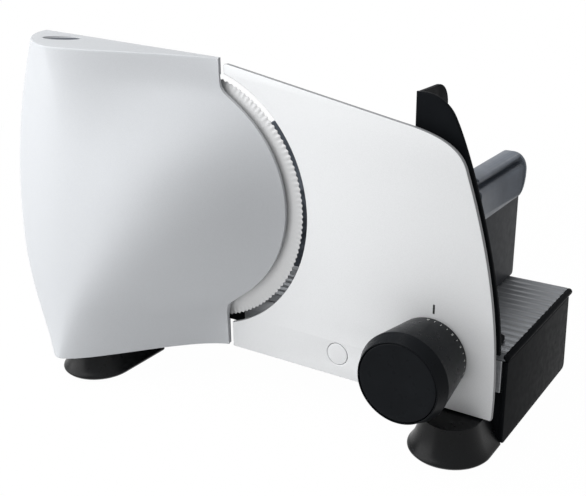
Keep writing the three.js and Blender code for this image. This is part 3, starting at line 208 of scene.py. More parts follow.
def turnAbout(axis, profile, centre, sides):
    # Point = centre + radius (cos a, sin a) across the axis + height along it.
    turn = fullTurn(sides)
    a = profile[:, :1] * np.cos(turn)
    b = profile[:, :1] * np.sin(turn)
    height = profile[:, 1:]
    order = {"y": (a, height, b), "z": (a, b, height)}[axis]
    return xyz(*order) + np.array(centre)


def turned(name, axis, profile, centre, sides, sharp=creaseAngle):
    # a profile of radius and height pairs turned about an axis
    points = turnAbout(axis, np.asarray(profile, float), centre, sides)
    return newPiece(name, points, gridFaces(len(profile), sides), sharp=sharp)


def rod(name, radius, low, high, centre, axis="y", edge=0.0, sides=64):
    # a round bar along an axis, its two ends broken by a small round
    corners = rectangle(0, radius, low, high)
    profile = roundCorners(corners, [0, edge, edge, 0], count=6, closed=False) if edge else corners
    return turned(name, axis, profile, centre, sides)


def brick(name, low, high):
    # a plain box between two corners
    square = np.array(rectangle(low[0], high[0], low[1], high[1]))
    return ringStack(name, xyz(*square.T, [[low[2]], [high[2]]]))


def slab(name, loops, low, high, edge, across="xz"):
    # A flat piece: each outline is carried through a quarter round, a straight side and a quarter round.
    # The first loop is the outside and the others are holes; across names the outline's two axes.
    inset, rise = quarterRound(edge)
    inset = np.concatenate([inset, inset[::-1]])
    depth = np.concatenate([low + rise, (high - rise)[::-1]])
    rows = len(inset)
    points, sides, capLoops, capIndex, start = [], [], [], [], 0
    for number, loop in enumerate(loops):
        loop = wound(np.asarray(loop, float), anticlockwise=number == 0)
        ring = loop[None] + inwardNormals(loop)[None] * inset[:, None, None]
        level = np.broadcast_to(depth[:, None, None], ring.shape[:2] + (1,))
        points.append(np.concatenate([ring, level], axis=-1).reshape(-1, 3))
        sides += gridFaces(rows, len(loop), start=start)
        capLoops.append([Vector((a, b, 0)) for a, b in ring[0]])
        capIndex.append(start + np.arange(len(loop)))
        start += rows * len(loop)
    lowIndex = np.concatenate(capIndex)
    highIndex = np.concatenate([first + (rows - 1) * len(first) for first in capIndex])
    triangles = np.array(tessellate_polygon(capLoops))
    caps = lowIndex[triangles].tolist() + highIndex[triangles].tolist()
    order = {"xz": (0, 2, 1), "yz": (2, 0, 1), "xy": (0, 1, 2)}[across]
    return newPiece(name, np.concatenate(points)[:, order], sides + caps, len(sides))


def settle(piece):
    # what the piece's modifiers make becomes its mesh
    graph = bpy.context.evaluated_depsgraph_get()
    mesh = bpy.data.meshes.new_from_object(piece.evaluated_get(graph))
    piece.modifiers.clear()
    piece.data = mesh


def combine(operation, piece, others):
    # the others are taken out of the piece or joined to it, and go
    for other in others:
        modifier = piece.modifiers.new("combine", "BOOLEAN")
        modifier.operation = operation
        modifier.solver = "EXACT"
        modifier.object = other
    settle(piece)
    for other in others:
        bpy.data.objects.remove(other)


def carve(piece, *cutters):
    combine("DIFFERENCE", piece, cutters)
    piece.data.set_sharp_from_angle(angle=math.radians(creaseAngle))
    return piece


def weld(name, *parts):
    combine("UNION", parts[0], parts[1:])
    parts[0].name = name
    return parts[0]


# Finishes

def setInputs(tree, node, values):
    # each input takes a plain value, or a link from the socket that feeds it
    for name, value in values.items():
        if isinstance(value, bpy.types.NodeSocket):
            tree.links.new(value, node.inputs[name])
        else:
            node.inputs[name].default_value = value


def addNode(tree, kind, values, **settings):
    # The outputs of a new shader node. Settings come first, because they decide which inputs it has.
    node = tree.nodes.new("ShaderNode" + kind)
    for name, value in settings.items():
        setattr(node, name, value)
    setInputs(tree, node, values)
    return node.outputs


class Finish:
    # A node material: one shader, fed by noise on the piece's own coordinates. Its slot argument is not used.
    def __init__(self, name, metallic=0.0, specular=0.5, slot=None):
        self.material = bpy.data.materials.new(name)
        self.material.use_nodes = True
        self.tree = self.material.node_tree
        self.shader = self.tree.nodes["Principled BSDF"]
        self.place = self.add("TexCoord", {})["Object"]
        self.feed({"Metallic": metallic, "Specular IOR Level": specular})

    def add(self, kind, values, **settings):
        return addNode(self.tree, kind, values, **settings)

    def feed(self, values):
        setInputs(self.tree, self.shader, values)

    def noise(self, scale, detail, stretch=(1, 1, 1)):
        place = self.add("Mapping", {"Vector": self.place, "Scale": stretch})["Vector"]
        return self.add("TexNoise", {"Vector": place, "Scale": scale, "Detail": detail})["Fac"]

    def flakes(self, scale):
        return self.add("TexVoronoi", {"Vector": self.place, "Scale": scale})["Color"]

    def rings(self, scale, centre):
        # fine turning marks round the Y axis through a centre, in metres
        away = [-value for value in centre]
        place = self.add("Mapping", {"Vector": self.place, "Location": away})["Vector"]
        values = {"Vector": place, "Scale": scale, "Distortion": 6.0, "Detail": 3.0, "Detail Scale": 4.0}
        return self.add("TexWave", values, wave_type="RINGS", rings_direction="Y")["Fac"]

    def tones(self, driver, dark, light, low=0.3, high=0.7):
        colour = self.add("ValToRGB", {"Fac": driver})["Color"]
        elements = colour.node.color_ramp.elements
        for number, (position, tone) in enumerate([(low, dark), (high, light)]):
            elements[number].position = position
            elements[number].color = (*tone, 1)
        self.feed({"Base Color": colour})

    def gloss(self, driver, smooth, rough, low=0.3, high=0.7):
        values = {"Value": driver, "From Min": low, "From Max": high, "To Min": smooth, "To Max": rough}
        self.feed({"Roughness": self.add("MapRange", values)["Result"]})

    def edged(self, colour):
        # faces with the edge attribute take a darker colour: painted shade along the edges
        edgeShadeShare = self.add("Attribute", {}, attribute_name="painted_edge_shade")["Fac"]
        paint = self.shader.inputs["Base Color"].links[0].from_socket
        values = {"Factor": edgeShadeShare, "A": paint, "B": (*colour, 1)}
        self.feed({"Base Color": self.add("Mix", values, data_type="RGBA")["Result"]})

    def relief(self, driver, depth, strength):
        values = {"Height": driver, "Strength": strength, "Distance": depth * mm}
        self.feed({"Normal": self.add("Bump", values)["Normal"]})
        return self.material


def shaded(colour, factor):
    return tuple(part * factor for part in colour)


def moulded(name, colour, smooth, rough, grain=2600, depth=0.004, **values):
    # injection moulded plastic with a fine spark-eroded skin
    finish = Finish(name, **values)
    finish.tones(finish.noise(scale=60, detail=4.0), shaded(colour, 0.88), shaded(colour, 1.12))
    finish.gloss(finish.noise(scale=220, detail=3.0), smooth, rough)
    return finish.relief(finish.noise(grain, detail=2.0), depth, strength=0.4)


def lacquered(name, colour, smooth, rough, flake=0.05, edgeShadeColour=None, **values):
    # silver lacquer with metal flake under a satin skin
    finish = Finish(name, **values)
    dark, light = shaded(colour, 1 - flake), shaded(colour, 1 + flake)
    finish.tones(finish.flakes(scale=5200), dark, light, low=0.1, high=0.9)
    # the edge colour, when given, is painted shade on the piece's sides
    if edgeShadeColour:
        finish.edged(edgeShadeColour)
    finish.gloss(finish.noise(scale=45, detail=3.0), smooth, rough)
    return finish.relief(finish.noise(scale=900, detail=2.0), depth=0.01, strength=0.15)


def milled(name, colour, smooth, rough, stretch=(1, 1, 1), scale=900, **values):
    # bare metal with drawn or rolled marks along the axis that is stretched least
    finish = Finish(name, **values)
    marks = finish.noise(scale, detail=4.0, stretch=stretch)
    finish.tones(marks, shaded(colour, 0.86), shaded(colour, 1.08))
    finish.gloss(marks, smooth, rough)
    return finish.relief(marks, depth=0.01, strength=0.3)


def laminated(name, colour):
    # stacked iron sheets, seen on edge along X
    finish = Finish(name, metallic=0.9)
    sheets = finish.noise(scale=1, detail=0.0, stretch=(1600, 1, 1))
    finish.tones(sheets, shaded(colour, 0.7), shaded(colour, 1.2), low=0.4, high=0.6)
    finish.gloss(sheets, smooth=0.35, rough=0.6)
    return finish.relief(sheets, depth=0.1, strength=0.5)


def groundSteel(name, dark, light):
    # blade steel, ground in rings
    finish = Finish(name, metallic=0.4, slot="steel")
    marks = finish.rings(scale=900, centre=bladeCentre)
    finish.tones(marks, dark, light, low=0.0, high=1.0)
    finish.gloss(marks, smooth=0.48, rough=0.56, low=0.0, high=1.0)
    return finish.relief(marks, depth=0.004, strength=0.2)


# The two numbers after a colour are its least and its greatest roughness.
alongX = (0.05, 1, 1)
silverPaint = lacquered("silver_paint", (0.51, 0.525, 0.545), 0.48, 0.54, metallic=0.12, specular=0.2)
# the plate's darker edge colour is painted shade on its sides
platePaint = lacquered("plate_silver", (0.70, 0.71, 0.72), 0.46, 0.52, edgeShadeColour=(0.26, 0.265, 0.275),
                       metallic=0.1, specular=0.3)
blackMoulding = moulded("black_plastic", (0.0085, 0.0095, 0.011), 0.32, 0.42, specular=0.006)
knobMoulding = moulded("knob_black", (0.0065, 0.0075, 0.009), 0.26, 0.34, depth=0.002,
                       slot="black_plastic", specular=0.05)
footMoulding = moulded("foot_black", (0.005, 0.0055, 0.0062), 0.26, 0.34, slot="black_plastic", specular=0.14)
gripMoulding = moulded("dark_grey", (0.128, 0.146, 0.176), 0.36, 0.46)
# the carriage wall takes a darker copy of the pusher's grey: painted shade
shadedWallMoulding = moulded("wall_grey_shaded", (0.045, 0.048, 0.054), 0.42, 0.52, slot="dark_grey", specular=0.04)
trayMetal = milled("tray_grey", (0.23, 0.24, 0.255), 0.34, 0.44, alongX, scale=1200, metallic=0.5)
railMetal = milled("rail_grey", (0.34, 0.35, 0.365), 0.34, 0.46, alongX, scale=1200, metallic=0.6)
buttonMoulding = moulded("button_grey", (0.09, 0.10, 0.118), 0.40, 0.50, specular=0.03)
bladeSteel = groundSteel("blade_steel", (0.50, 0.51, 0.52), (0.60, 0.60, 0.60))
drawnSteel = milled("steel", (0.66, 0.67, 0.68), 0.2, 0.34, (1, 0.06, 1), scale=1500, metallic=1.0)
ironSheets = laminated("iron_stack", (0.12, 0.125, 0.135))
bronzeCast = milled("bronze", (0.45, 0.24, 0.08), 0.34, 0.5, metallic=1.0)
copperWire = milled("copper", (0.52, 0.19, 0.075), 0.28, 0.42, (0.1, 1, 1), scale=1400, metallic=1.0)
carbonBlock = moulded("carbon", (0.022, 0.022, 0.024), 0.55, 0.75)
nylonWhite = moulded("gear_nylon", (0.78, 0.75, 0.66), 0.42, 0.55)
rubberBlack = moulded("rubber", (0.013, 0.013, 0.014), 0.65, 0.8, grain=1400, depth=0.05)
printWhite = moulded("print_white", (0.72, 0.72, 0.70), 0.5, 0.6, slot="black_plastic")
printBlack = moulded("print_black", (0.012, 0.012, 0.013), 0.5, 0.6, slot="black_plastic")

# the nodes that no piece below stands for
cadFinishes = [
    (drawnSteel, "thickness_spindle blade_axle thrust_washer motor_shaft knob_retainer"),
    (railMetal, "drive_plate rear_motor_bracket front_motor_bracket"),
    (ironSheets, "motor_stator armature"),
    (copperWire, "field_coil_upper field_coil_lower commutator"),
    (bronzeCast, "rear_shaft_bush front_shaft_bush gear_bush"),
    (carbonBlock, "carbon_brush_upper carbon_brush_lower"),
    (blackMoulding, "switch_block"),
    (nylonWhite, "blade_gear"),
]
for finish, nodeNames in cadFinishes:
    for nodeName in nodeNames.split():
        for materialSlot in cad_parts[nodeName].material_slots:
            materialSlot.material = finish
print("finishes")


def fit(piece, body, finish, *nodes):
    # the piece's finish, the body that carries it, and the nodes it stands for
    piece.data.materials.clear()
    piece.data.materials.append(finish)
    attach(piece, body)
    if nodes:
        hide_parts(*nodes)
    return piece


# Motor housing

housing = Values(
    tip=20.5, topAtTip=224.6, topRise=0.05, bottomAtTip=27.7, bottomDrop=0.07, rear=3.2, rim=3.7,
    wall=2.6, edge=0.9, edgeFade=8.0, nose=-145.0, noseTopTaper=16.5, noseBottomTaper=34.0,
    fullness=1.55, noseSwell=0.65, peakTop=-83.0, peakBottom=-69.0, peakSwell=15.0, depthTop=45.5,
    depthBottom=74.0, sweepEnds=1.7, sweepMiddle=1.1, sweepRounding=1.6, ridge=1.4, ridgeShare=0.76,
    ridgeLean=0.32, ridgeBelow=0.24, ridgeAbove=0.19, hoodRadius=72.6, hoodRise=2.5, tipBlend=22.0,
    sweepBlend=32.0, chamberRadius=60.0, chamberNeck=-20.0, chamberBottom=50.0, chamberLeft=-125.7,
    chamberGap=0.3, chamberMiddle=-34.0, chamberLeast=0.5, bossRadius=9.0, bossRear=-26.5,
    boreRadius=4.8, boreEnd=-35.5,
)


def housingTop(x):
    return housing.topAtTip + housing.topRise * (housing.tip - x)


def housingBottom(x):
    return housing.bottomAtTip - housing.bottomDrop * (housing.tip - x)


def noseEnd(share):
    # the left end is bowed: cubic towards the bottom, square towards the top
    away = np.abs(share - 0.5) / 0.5
    bow = np.where(share < 0.5, housing.noseBottomTaper * away ** 3, housing.noseTopTaper * away ** 2)
    return housing.nose + bow


def swell(share):
    # one at mid height, nought at the bottom and the top
    return 4 * share * (1 - share)


def ridge(share, reach):
    # one along a ridge that falls from the right edge to the peak, fading away from it as exp(-d^2)
    away = share - housing.ridgeShare + housing.ridgeLean * reach
    width = np.where(away < 0, housing.ridgeBelow, housing.ridgeAbove)
    return np.exp(-(away / width) ** 2)


def sweepPeak(share):
    return mix(housing.peakBottom, housing.peakTop, share) + housing.peakSwell * swell(share)


def sweepDepth(share):
    return mix(housing.depthBottom, housing.depthTop, share)


def noseFullness(share):
    return housing.fullness + housing.noseSwell * swell(share)


def rightEdge(share, blend):
    # the tip's straight line, swollen to the round hood over the blade: a smooth maximum of the two
    tip = housing.tip
    rise = mix(housing.bottomAtTip, housing.topAtTip, share) - bladeAxis - housing.hoodRise
    square = housing.hoodRadius ** 2 - rise ** 2
    hood = np.sqrt((square + np.hypot(square, blend ** 2)) / 2)
    return (tip + hood + np.hypot(tip - hood, blend)) / 2


def frontDepth(x, share):
    # rim + (depth - rim) (1 - (1 - u^p)^q), with u from nought near the right edge to one at the peak
    right = rightEdge(share, housing.sweepBlend)
    reach = np.clip((right - x) / (right - sweepPeak(share)), 0, 1)
    power = mix(housing.sweepEnds, housing.sweepMiddle, swell(share))
    rounding = housing.sweepRounding + housing.ridge * ridge(share, reach)
    return mix(housing.rim, sweepDepth(share), 1 - (1 - reach ** power) ** rounding)


def housingDepth(x, z):
    # the front's depth at any place: the swept front, or the nose's superellipse left of the peak
    share = np.clip((z - housingBottom(x)) / (housingTop(x) - housingBottom(x)), 0, 1)
    peak = sweepPeak(share)
    full = noseFullness(share)
    across = np.clip((peak - x) / (peak - noseEnd(share)), 0, 1)
    nose = mix(housing.rear, sweepDepth(share), (1 - across ** full) ** (1 / full))
    return np.where(x < peak, nose, frontDepth(x, share))


def housingRings(levels=120, frontCount=150, noseCount=60, rearCount=20, edgeSteps=6):
    # Level rings from bottom to top; the last few at each end draw in on a quarter round.
    edgeInset, edgeRise = quarterRound(housing.edge, edgeSteps)
    lowShare = edgeRise / (housing.topAtTip - housing.bottomAtTip)
    between = np.linspace(lowShare[-1], 1 - lowShare[-1], levels)[1:-1]
    share = np.concatenate([lowShare, between, 1 - lowShare[::-1]])[:, None]
    inset = np.concatenate([edgeInset, np.zeros(len(between)), edgeInset[::-1]])[:, None]
    left = noseEnd(share) + inset
    peak = sweepPeak(share)
    right = rightEdge(share, housing.tipBlend)
    frontX = right + (peak - right) * np.linspace(0, 1, frontCount)
    front = frontDepth(frontX, share)
    front = front - inset * np.clip((front - housing.rim) / housing.edgeFade, 0, 1)
    quarter = np.linspace(0, math.pi / 2, noseCount)[1:]
    across = np.sin(quarter) ** (2 / noseFullness(share))
    deep = np.cos(quarter) ** (2 / noseFullness(share))
    noseX = peak + (left - peak) * across
    nose = mix(housing.rear, front[:, -1:], deep)
    rearX = left + (right - left) * np.linspace(0, 1, rearCount)[1:]
    rear = np.full_like(rearX, housing.rear)
    x = np.concatenate([frontX, noseX, rearX], axis=1)
    y = -np.concatenate([front, nose, rear], axis=1)
    z = mix(housingBottom(x), housingTop(x), share)
    return xyz(x, y, z)


def housingHollow(inner=24, leastShare=0.02):
    # The chamber for motor and gear: a keyhole outline, drawn in to a middle, one wall behind the front.
    neck, radius, floor, wall = housing.pick("chamberNeck chamberRadius chamberBottom wall")
    half = math.degrees(math.acos(neck / radius))
    roof = housingTop(neck) - wall
    leftZ = line(roof, floor)
    share = (leftZ - housing.bottomAtTip) / (housing.topAtTip - housing.bottomAtTip)
    leftX = np.maximum(housing.chamberLeft, noseEnd(share) + wall + housing.chamberGap)
    bowl = arc((0, bladeAxis), radius, -half, half, count=60)
    outline = joinPaths(
        bowl,
        line(bowl[-1], (neck, roof)),
        line((neck, roof), (leftX[0], roof)),
        np.stack([leftX, leftZ], axis=1),
        line((leftX[-1], floor), (neck, floor)),
        line((neck, floor), bowl[0]),
    )
    middle = np.array([housing.chamberMiddle, bladeAxis])
    flat = middle + (outline - middle) * np.linspace(1, leastShare, inner)[:, None, None]
    depth = housingDepth(flat[..., 0], flat[..., 1]) - wall
    depth = np.maximum(depth, housing.rear + housing.chamberLeast)
    front = xyz(flat[..., 0], -depth, flat[..., 1])
    mouth = front[:1] * (1, 0, 1) + (0, 1, 0)
    boss = rod("boss", housing.bossRadius, -housing.depthBottom, housing.bossRear, axleSpot)
    return carve(ringStack("hollow", np.concatenate([mouth, front])), boss)


button = Values(
    x=-96.0, y=-17.0, long=12.5, short=6.5, turn=31.0, gap=0.4, flange=2.0, flangeThickness=2.5,
    flangeGap=0.3, sink=0.1, crown=0.5, crownFlat=1.2, edge=0.8, plunger=2.0, plungerLength=5.0,
    holeGrowths=(0, 0, 0.5, 1.0), holeHeights=(-8.0, -0.9, -0.1, 2.0),
)
topAtButton = housingTop(button.x)


def ovalRings(growths, heights, count=72):
    # level rings of the button's oval, each grown by so much at a height
    turn = math.radians(button.turn)
    rotation = np.array([[math.cos(turn), math.sin(turn)], [-math.sin(turn), math.cos(turn)]])
    rings = []
    for grow, height in zip(growths, heights):
        flat = circle((0, 0), 1, count) * (button.long + grow, button.short + grow)
        rings.append(np.column_stack([flat @ rotation + (button.x, button.y), np.full(count, height)]))
    return np.stack(rings)


housingPiece = ringStack("motor_housing_shell", housingRings(), sharp=50)
buttonHole = ringStack("hole", ovalRings(button.holeGrowths, topAtButton + np.array(button.holeHeights)))
axleBore = rod("bore", housing.boreRadius, housing.boreEnd, housing.bossRear + 1, axleSpot)
carve(housingPiece, housingHollow(), axleBore, buttonHole)
fit(housingPiece, "base", silverPaint, "motor_housing")
print("housing", len(housingPiece.data.polygons), "faces")


def makeButton():
    # A crowned oval head, its flange under the housing's top, and a plunger.
    short, gap, crown, flange = button.pick("short gap crown flange")
    crownBottom = topAtButton - button.sink - crown
    flangeTop = housingTop(button.x + button.long) - housing.wall - button.flangeGap
    flangeBottom = flangeTop - button.flangeThickness
    edgeInset, edgeRise = quarterRound(button.edge)
    shrink = line(0, 1, count=8)[1:] * (short - button.crownFlat)
    crownRise = crown * (1 - (1 - shrink / shrink[-1]) ** 2)
    plunger = button.plunger - short
    growths = np.concatenate([[plunger, plunger, flange, flange, -gap], -gap - edgeRise,
                              -gap - edgeRise[-1] - shrink])
    heights = np.concatenate([[flangeBottom - button.plungerLength, flangeBottom, flangeBottom, flangeTop,
                               flangeTop], crownBottom - edgeInset, crownBottom + crownRise])
    return ringStack("power_button_cap", ovalRings(growths, heights))


fit(makeButton(), "button", buttonMoulding, "power_button")

spring = Values(
    bottom=214.3, length=9.8, radius=4.6, wire=0.9, turns=5, perTurn=28, around=10, travel=3.0,
)


def makeSpring():
    # A wire on a helix: (r cos t, r sin t, rise t), each wire ring standing upright.
    half = spring.wire / 2
    along = np.linspace(0, 1, spring.turns * spring.perTurn + 1)[:, None]
    turn = 2 * math.pi * spring.turns * along
    around = fullTurn(spring.around)
    reach = spring.radius - half + half * np.cos(around)
    x = button.x + reach * np.cos(turn)
    y = button.y + reach * np.sin(turn)
    z = spring.bottom + mix(half, spring.length - half, along) + half * np.sin(around)
    return ringStack("button_spring_coil", xyz(x, y, z))


# The spring goes down with the button, with a mesh of its own.
springCoil = fit(makeSpring(), "button", drawnSteel, "button_spring")
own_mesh(springCoil)


# Rear cover: the housing's flat food side, round the blade

cover = Values(
    tip=25.0, thickness=2.9, edge=0.6, recess=87.5, screwHole=4.3, screwRadius=4.0,
    screws=((-117, 196), (-130, 130), (-112, 54)),
)


def makeRearCover():
    share = line(1, 0, count=60)
    noseX = noseEnd(share)
    tip = cover.tip
    half = math.degrees(math.acos(tip / cover.recess))
    outline = joinPaths(
        (tip, housingTop(tip)),
        np.stack([noseX, mix(housingBottom(noseX), housingTop(noseX), share)], axis=1),
        (tip, housingBottom(tip)),
        arc((0, bladeAxis), cover.recess, 360 - half, half, count=120),
    )
    holes = [circle(spot, cover.screwHole, count=40) for spot in cover.screws]
    return slab("rear_cover_plate", [outline, *holes], -cover.thickness, 0, cover.edge)


fit(makeRearCover(), "base", silverPaint, "rear_cover")


# Blade and its lock

blade = Values(
    radius=85.0, bore=22.0, thickness=1.6, bevel=13.0, teeth=150, toothDepth=0.9, edge=0.12,
    flute=0.35, fluteLength=5.0, innerRings=(40.0, 60.0), outerRing=80.0,
)


def makeBlade(perTooth=8, fluteSteps=6):
    # Rows of radius and depth: over the food side, round the toothed edge, and back over the ground bevel.
    # Tooth wave = (1 - cos(teeth * angle)) / 2 draws in the edge, and flutes the bevel next to it.
    turn = fullTurn(blade.teeth * perTooth)
    wave = (1 - np.cos(blade.teeth * turn)) / 2
    radius, bore, thickness, bevel, edge = blade.pick("radius bore thickness bevel edge")
    near, far = blade.innerRings
    tooth = radius - blade.toothDepth * wave
    rows = [(ring, 0) for ring in (bore, near, far, radius - bevel, blade.outerRing)]
    rows += [(tooth, 0), (tooth, -edge)]
    for share in np.linspace(1, 0, fluteSteps + 1)[1:]:
        reach = blade.fluteLength * (1 - share)
        rows.append((radius - reach, -thickness / bevel * reach - edge + blade.flute * share * wave))
    rows += [(ring, -thickness) for ring in (radius - bevel, far, near, bore)]
    rings = [xyz(reach * np.cos(turn), depth, reach * np.sin(turn) + bladeAxis) for reach, depth in rows]
    return newPiece("blade_disc", rings, gridFaces(len(rows), len(turn), wrapRows=True), sharp=30)


fit(makeBlade(), "blade_unit", bladeSteel, "blade")

lock = Values(
    flange=28.0, plug=21.7, base=0.3, thickness=2.1, well=18.0, wellDepth=1.4, wellSlope=0.8, bar=6.0,
    edge=0.9,
)


def makeBladeLock(sides=180, innerRings=59):
    # A turned flange; inside its well the face drops by a smooth step away from a grip bar along X.
    flange, plug, base = lock.pick("flange plug base")
    face = base + lock.thickness
    edgeInset, edgeRise = quarterRound(lock.edge)
    rim = np.column_stack([flange - edgeRise, face - edgeInset])
    lower = [(0, -blade.thickness), (plug, -blade.thickness), (plug, base), (flange, base)]
    inner = np.column_stack([np.linspace(rim[-1, 0], 0, innerRings + 1)[1:], np.full(innerRings, face)])
    profile = np.concatenate([lower, rim, inner])
    points = turnAbout("y", profile, axleSpot, sides)
    top = np.arange(len(profile)) >= len(lower) + len(rim)
    up = points[..., 2] - bladeAxis
    fromRim = np.clip((lock.well - np.hypot(points[..., 0], up)) / lock.wellSlope, 0, 1)
    fromBar = np.clip((np.abs(up) - lock.bar / 2) / lock.wellSlope, 0, 1)
    inWell = fromRim * fromBar
    points[..., 1] -= lock.wellDepth * inWell ** 2 * (3 - 2 * inWell) * top[:, None]
    return newPiece("blade_lock_cap", points, gridFaces(len(profile), sides), sharp=50)


fit(makeBladeLock(), "blade_unit", blackMoulding, "blade_lock")
print("blade and lock")


# Stop plate with its plug and index mark

plate = Values(
    thickness=3.0, edge=0.7, left=28.5, right=217.0, bottom=27.0, topLeft=221.7, topSlope=-0.19,
    corner=4.0, cornerPull=1.0, lowCorner=1.4, lowPull=(2.0, 57.5), flankPull=(15.7, -44.8),
    flank=(193.5, 174.5), browLow=(-3.0, 10.0), browHigh=(-10.5, 18.7), shoulder=152.4, arc=89.5,
    knob=(176.0, 60.4), knobHole=7.0, sideSlope=0.8,
)
# within painted mm of the plug the sides keep the plate's colour, without the painted edge shade
plug = Values(spot=(112.0, 43.0), radius=7.25, gap=0.3, back=-1.5, edge=0.35, painted=2.0)


def makeStopPlate():
    def topAt(x):
        return plate.topLeft + plate.topSlope * (x - plate.left)
    left, right, bottom, corner, lowCorner = plate.pick("left right bottom corner lowCorner")
    cornerPull = plate.cornerPull
    flank = np.array(plate.flank)
    half = math.degrees(math.acos(left / plate.arc))
    outline = joinPaths(
        (left, bottom),
        arc((right - lowCorner, bottom + lowCorner), lowCorner, -90, 0, count=8),
        bezier((right, bottom + lowCorner), np.array([right, bottom]) + plate.lowPull,
               flank + plate.flankPull, flank, count=60),
        bezier(flank, flank + plate.browLow, flank + plate.browHigh,
               (plate.shoulder, topAt(plate.shoulder))),
        bezier((left + corner, topAt(left + corner)), (left + cornerPull, topAt(left + cornerPull)),
               (left, topAt(left) - cornerPull), (left, topAt(left) - corner), count=8),
        arc((0, bladeAxis), plate.arc, half, -half, count=110),
    )
    holes = [circle(plate.knob, plate.knobHole, count=48), circle(plug.spot, plug.radius + plug.gap)]
    sheet = slab("stop_plate_panel", [outline, *holes], -plate.thickness, 0, plate.edge)
    # the sides take a darker colour, a painted shade, but not round the plug
    edgeShadeShare = sheet.data.attributes.new("painted_edge_shade", "FLOAT", "FACE")
    plugX, plugZ = np.array(plug.spot) * mm + benchZero[[0, 2]]
    plugReach = (plug.radius + plug.painted) * mm
    for number, side in enumerate(sheet.data.polygons):
        offPlug = math.hypot(side.center.x - plugX, side.center.z - plugZ) > plugReach
        edgeShadeShare.data[number].value = float(offPlug and abs(side.normal.y) < plate.sideSlope)
    return sheet


fit(makeStopPlate(), "stop", platePaint, "stop_plate")
plugDisc = [circle(plug.spot, plug.radius)]
fit(slab("plate_plug_disc", plugDisc, -plate.thickness, plug.back, plug.edge),
    "stop", platePaint, "plate_plug")

mark = Values(
    left=176.75, right=178.05, low=87.0, high=93.0, corner=0.4, lift=0.06, sink=0.1, edge=0.05,
)
markOutline = roundCorners(rectangle(*mark.pick("left right low high")), mark.corner)
fit(slab("index_mark", [markOutline], -plate.thickness - mark.lift, -plate.thickness + mark.sink,
         mark.edge), "stop", printBlack)
print("stop plate")


# Thickness knob with its scale

# rounds has one radius for each corner of the grip's profile, from the floor out and round to the bore
knob = Values(
    baseRadius=23.8, base=-3.3, rimRadius=28.2, rim=-38.0, lipRadius=27.4, lip=-39.6, faceRadius=25.2,
    face=-46.0, cap=24.3, capThickness=5.4, capGap=0.3, capEdge=1.0, dishRim=0.2, dishDepth=0.8,
    neck=6.6, neckBack=0.9, spindle=3.4, web=3.0,
    rounds=(0, 0, 0.2, 0.6, 0, 0.5, 0.8, 0, 0.2, 0.2, 0, 0),
)
knobSpot = (plate.knob[0], 0, plate.knob[1])


def makeKnob():
    cap, capGap, face, base = knob.pick("cap capGap face base")
    neck, neckBack, spindle = knob.pick("neck neckBack spindle")
    floor = face + knob.capThickness + 2 * capGap
    boreEnd = floor + knob.web
    corners = [
        (0, floor), (cap + capGap, floor), (cap + capGap, face), (knob.faceRadius, face),
        (knob.lipRadius, knob.lip), (knob.rimRadius, knob.rim), (knob.baseRadius, base),
        (neck, base), (neck, neckBack), (spindle, neckBack), (spindle, boreEnd), (0, boreEnd),
    ]
    profile = roundCorners(corners, knob.rounds, count=6, closed=False)
    return turned("thickness_knob_grip", "y", profile, knobSpot, sides=160, sharp=30)


def makeKnobCap():
    # a disc with a shallow round dish in its face
    radius, edge = knob.pick("cap capEdge")
    floor = knob.face + knob.capThickness + knob.capGap
    front = knob.face + knob.dishRim
    dish = line(0, radius - edge, count=12)
    dishHeight = front + knob.dishDepth * (1 - (dish / dish[-1]) ** 2)
    edgeInset, edgeRise = quarterRound(edge)
    rim = np.column_stack([radius - edgeInset, front + edgeRise])
    profile = np.concatenate([np.column_stack([dish, dishHeight]), rim[1:], [(radius, floor), (0, floor)]])
    return turned("knob_cap_disc", "y", profile, knobSpot, sides=160)


fit(makeKnob(), "knob", knobMoulding, "thickness_knob")
fit(makeKnobCap(), "knob", knobMoulding, "knob_cap")

dial = Values(
    size=2.9, stepDegrees=20.0, last=15, along=-8.2, lift=0.06, depth=0.16, strokeAlong=-7.0,
    strokeWidth=0.4, strokeLength=1.3,
)


def wrapOnCone(flat):
    # Flat print, x round the cone, y along it and z out of it: angle = x / radius, radius grows with depth.
    slope = (knob.rimRadius - knob.baseRadius) / (knob.rim - knob.base)
    around, along, out = flat.T
    radius = knob.baseRadius + slope * (along - knob.base) + out
    turn = math.pi / 2 - around / knob.baseRadius
    return xyz(radius * np.cos(turn), along, radius * np.sin(turn)) + knobSpot


def strokeShape():
    # a short printed stroke as a flat box: eight corners and six sides
    half = np.array([dial.strokeWidth, dial.strokeLength, dial.depth]) / 2
    signs = np.array([(x, y, z) for z in (-1, 1) for x, y in rectangle(-1, 1, -1, 1)])
    sides = [[0, 3, 2, 1], [4, 5, 6, 7], [0, 1, 5, 4], [1, 2, 6, 5], [2, 3, 7, 6], [3, 0, 4, 7]]
    return signs * half, sides


def figureShape(number):
    # a printed number as a flat solid
    text = bpy.data.curves.new("figure", "FONT")
    text.body = str(number)
    text.size = dial.size
    text.align_x = "CENTER"
    text.extrude = dial.depth / 2
    text.resolution_u = 3
    holder = placed("figure", text)
    bpy.context.view_layer.update()
    mesh = holder.evaluated_get(bpy.context.evaluated_depsgraph_get()).to_mesh()
    points = np.array([tuple(corner.co) for corner in mesh.vertices])
    faces = [list(face.vertices) for face in mesh.polygons]
    bpy.data.objects.remove(holder)
    bpy.data.curves.remove(text)
    return points, faces


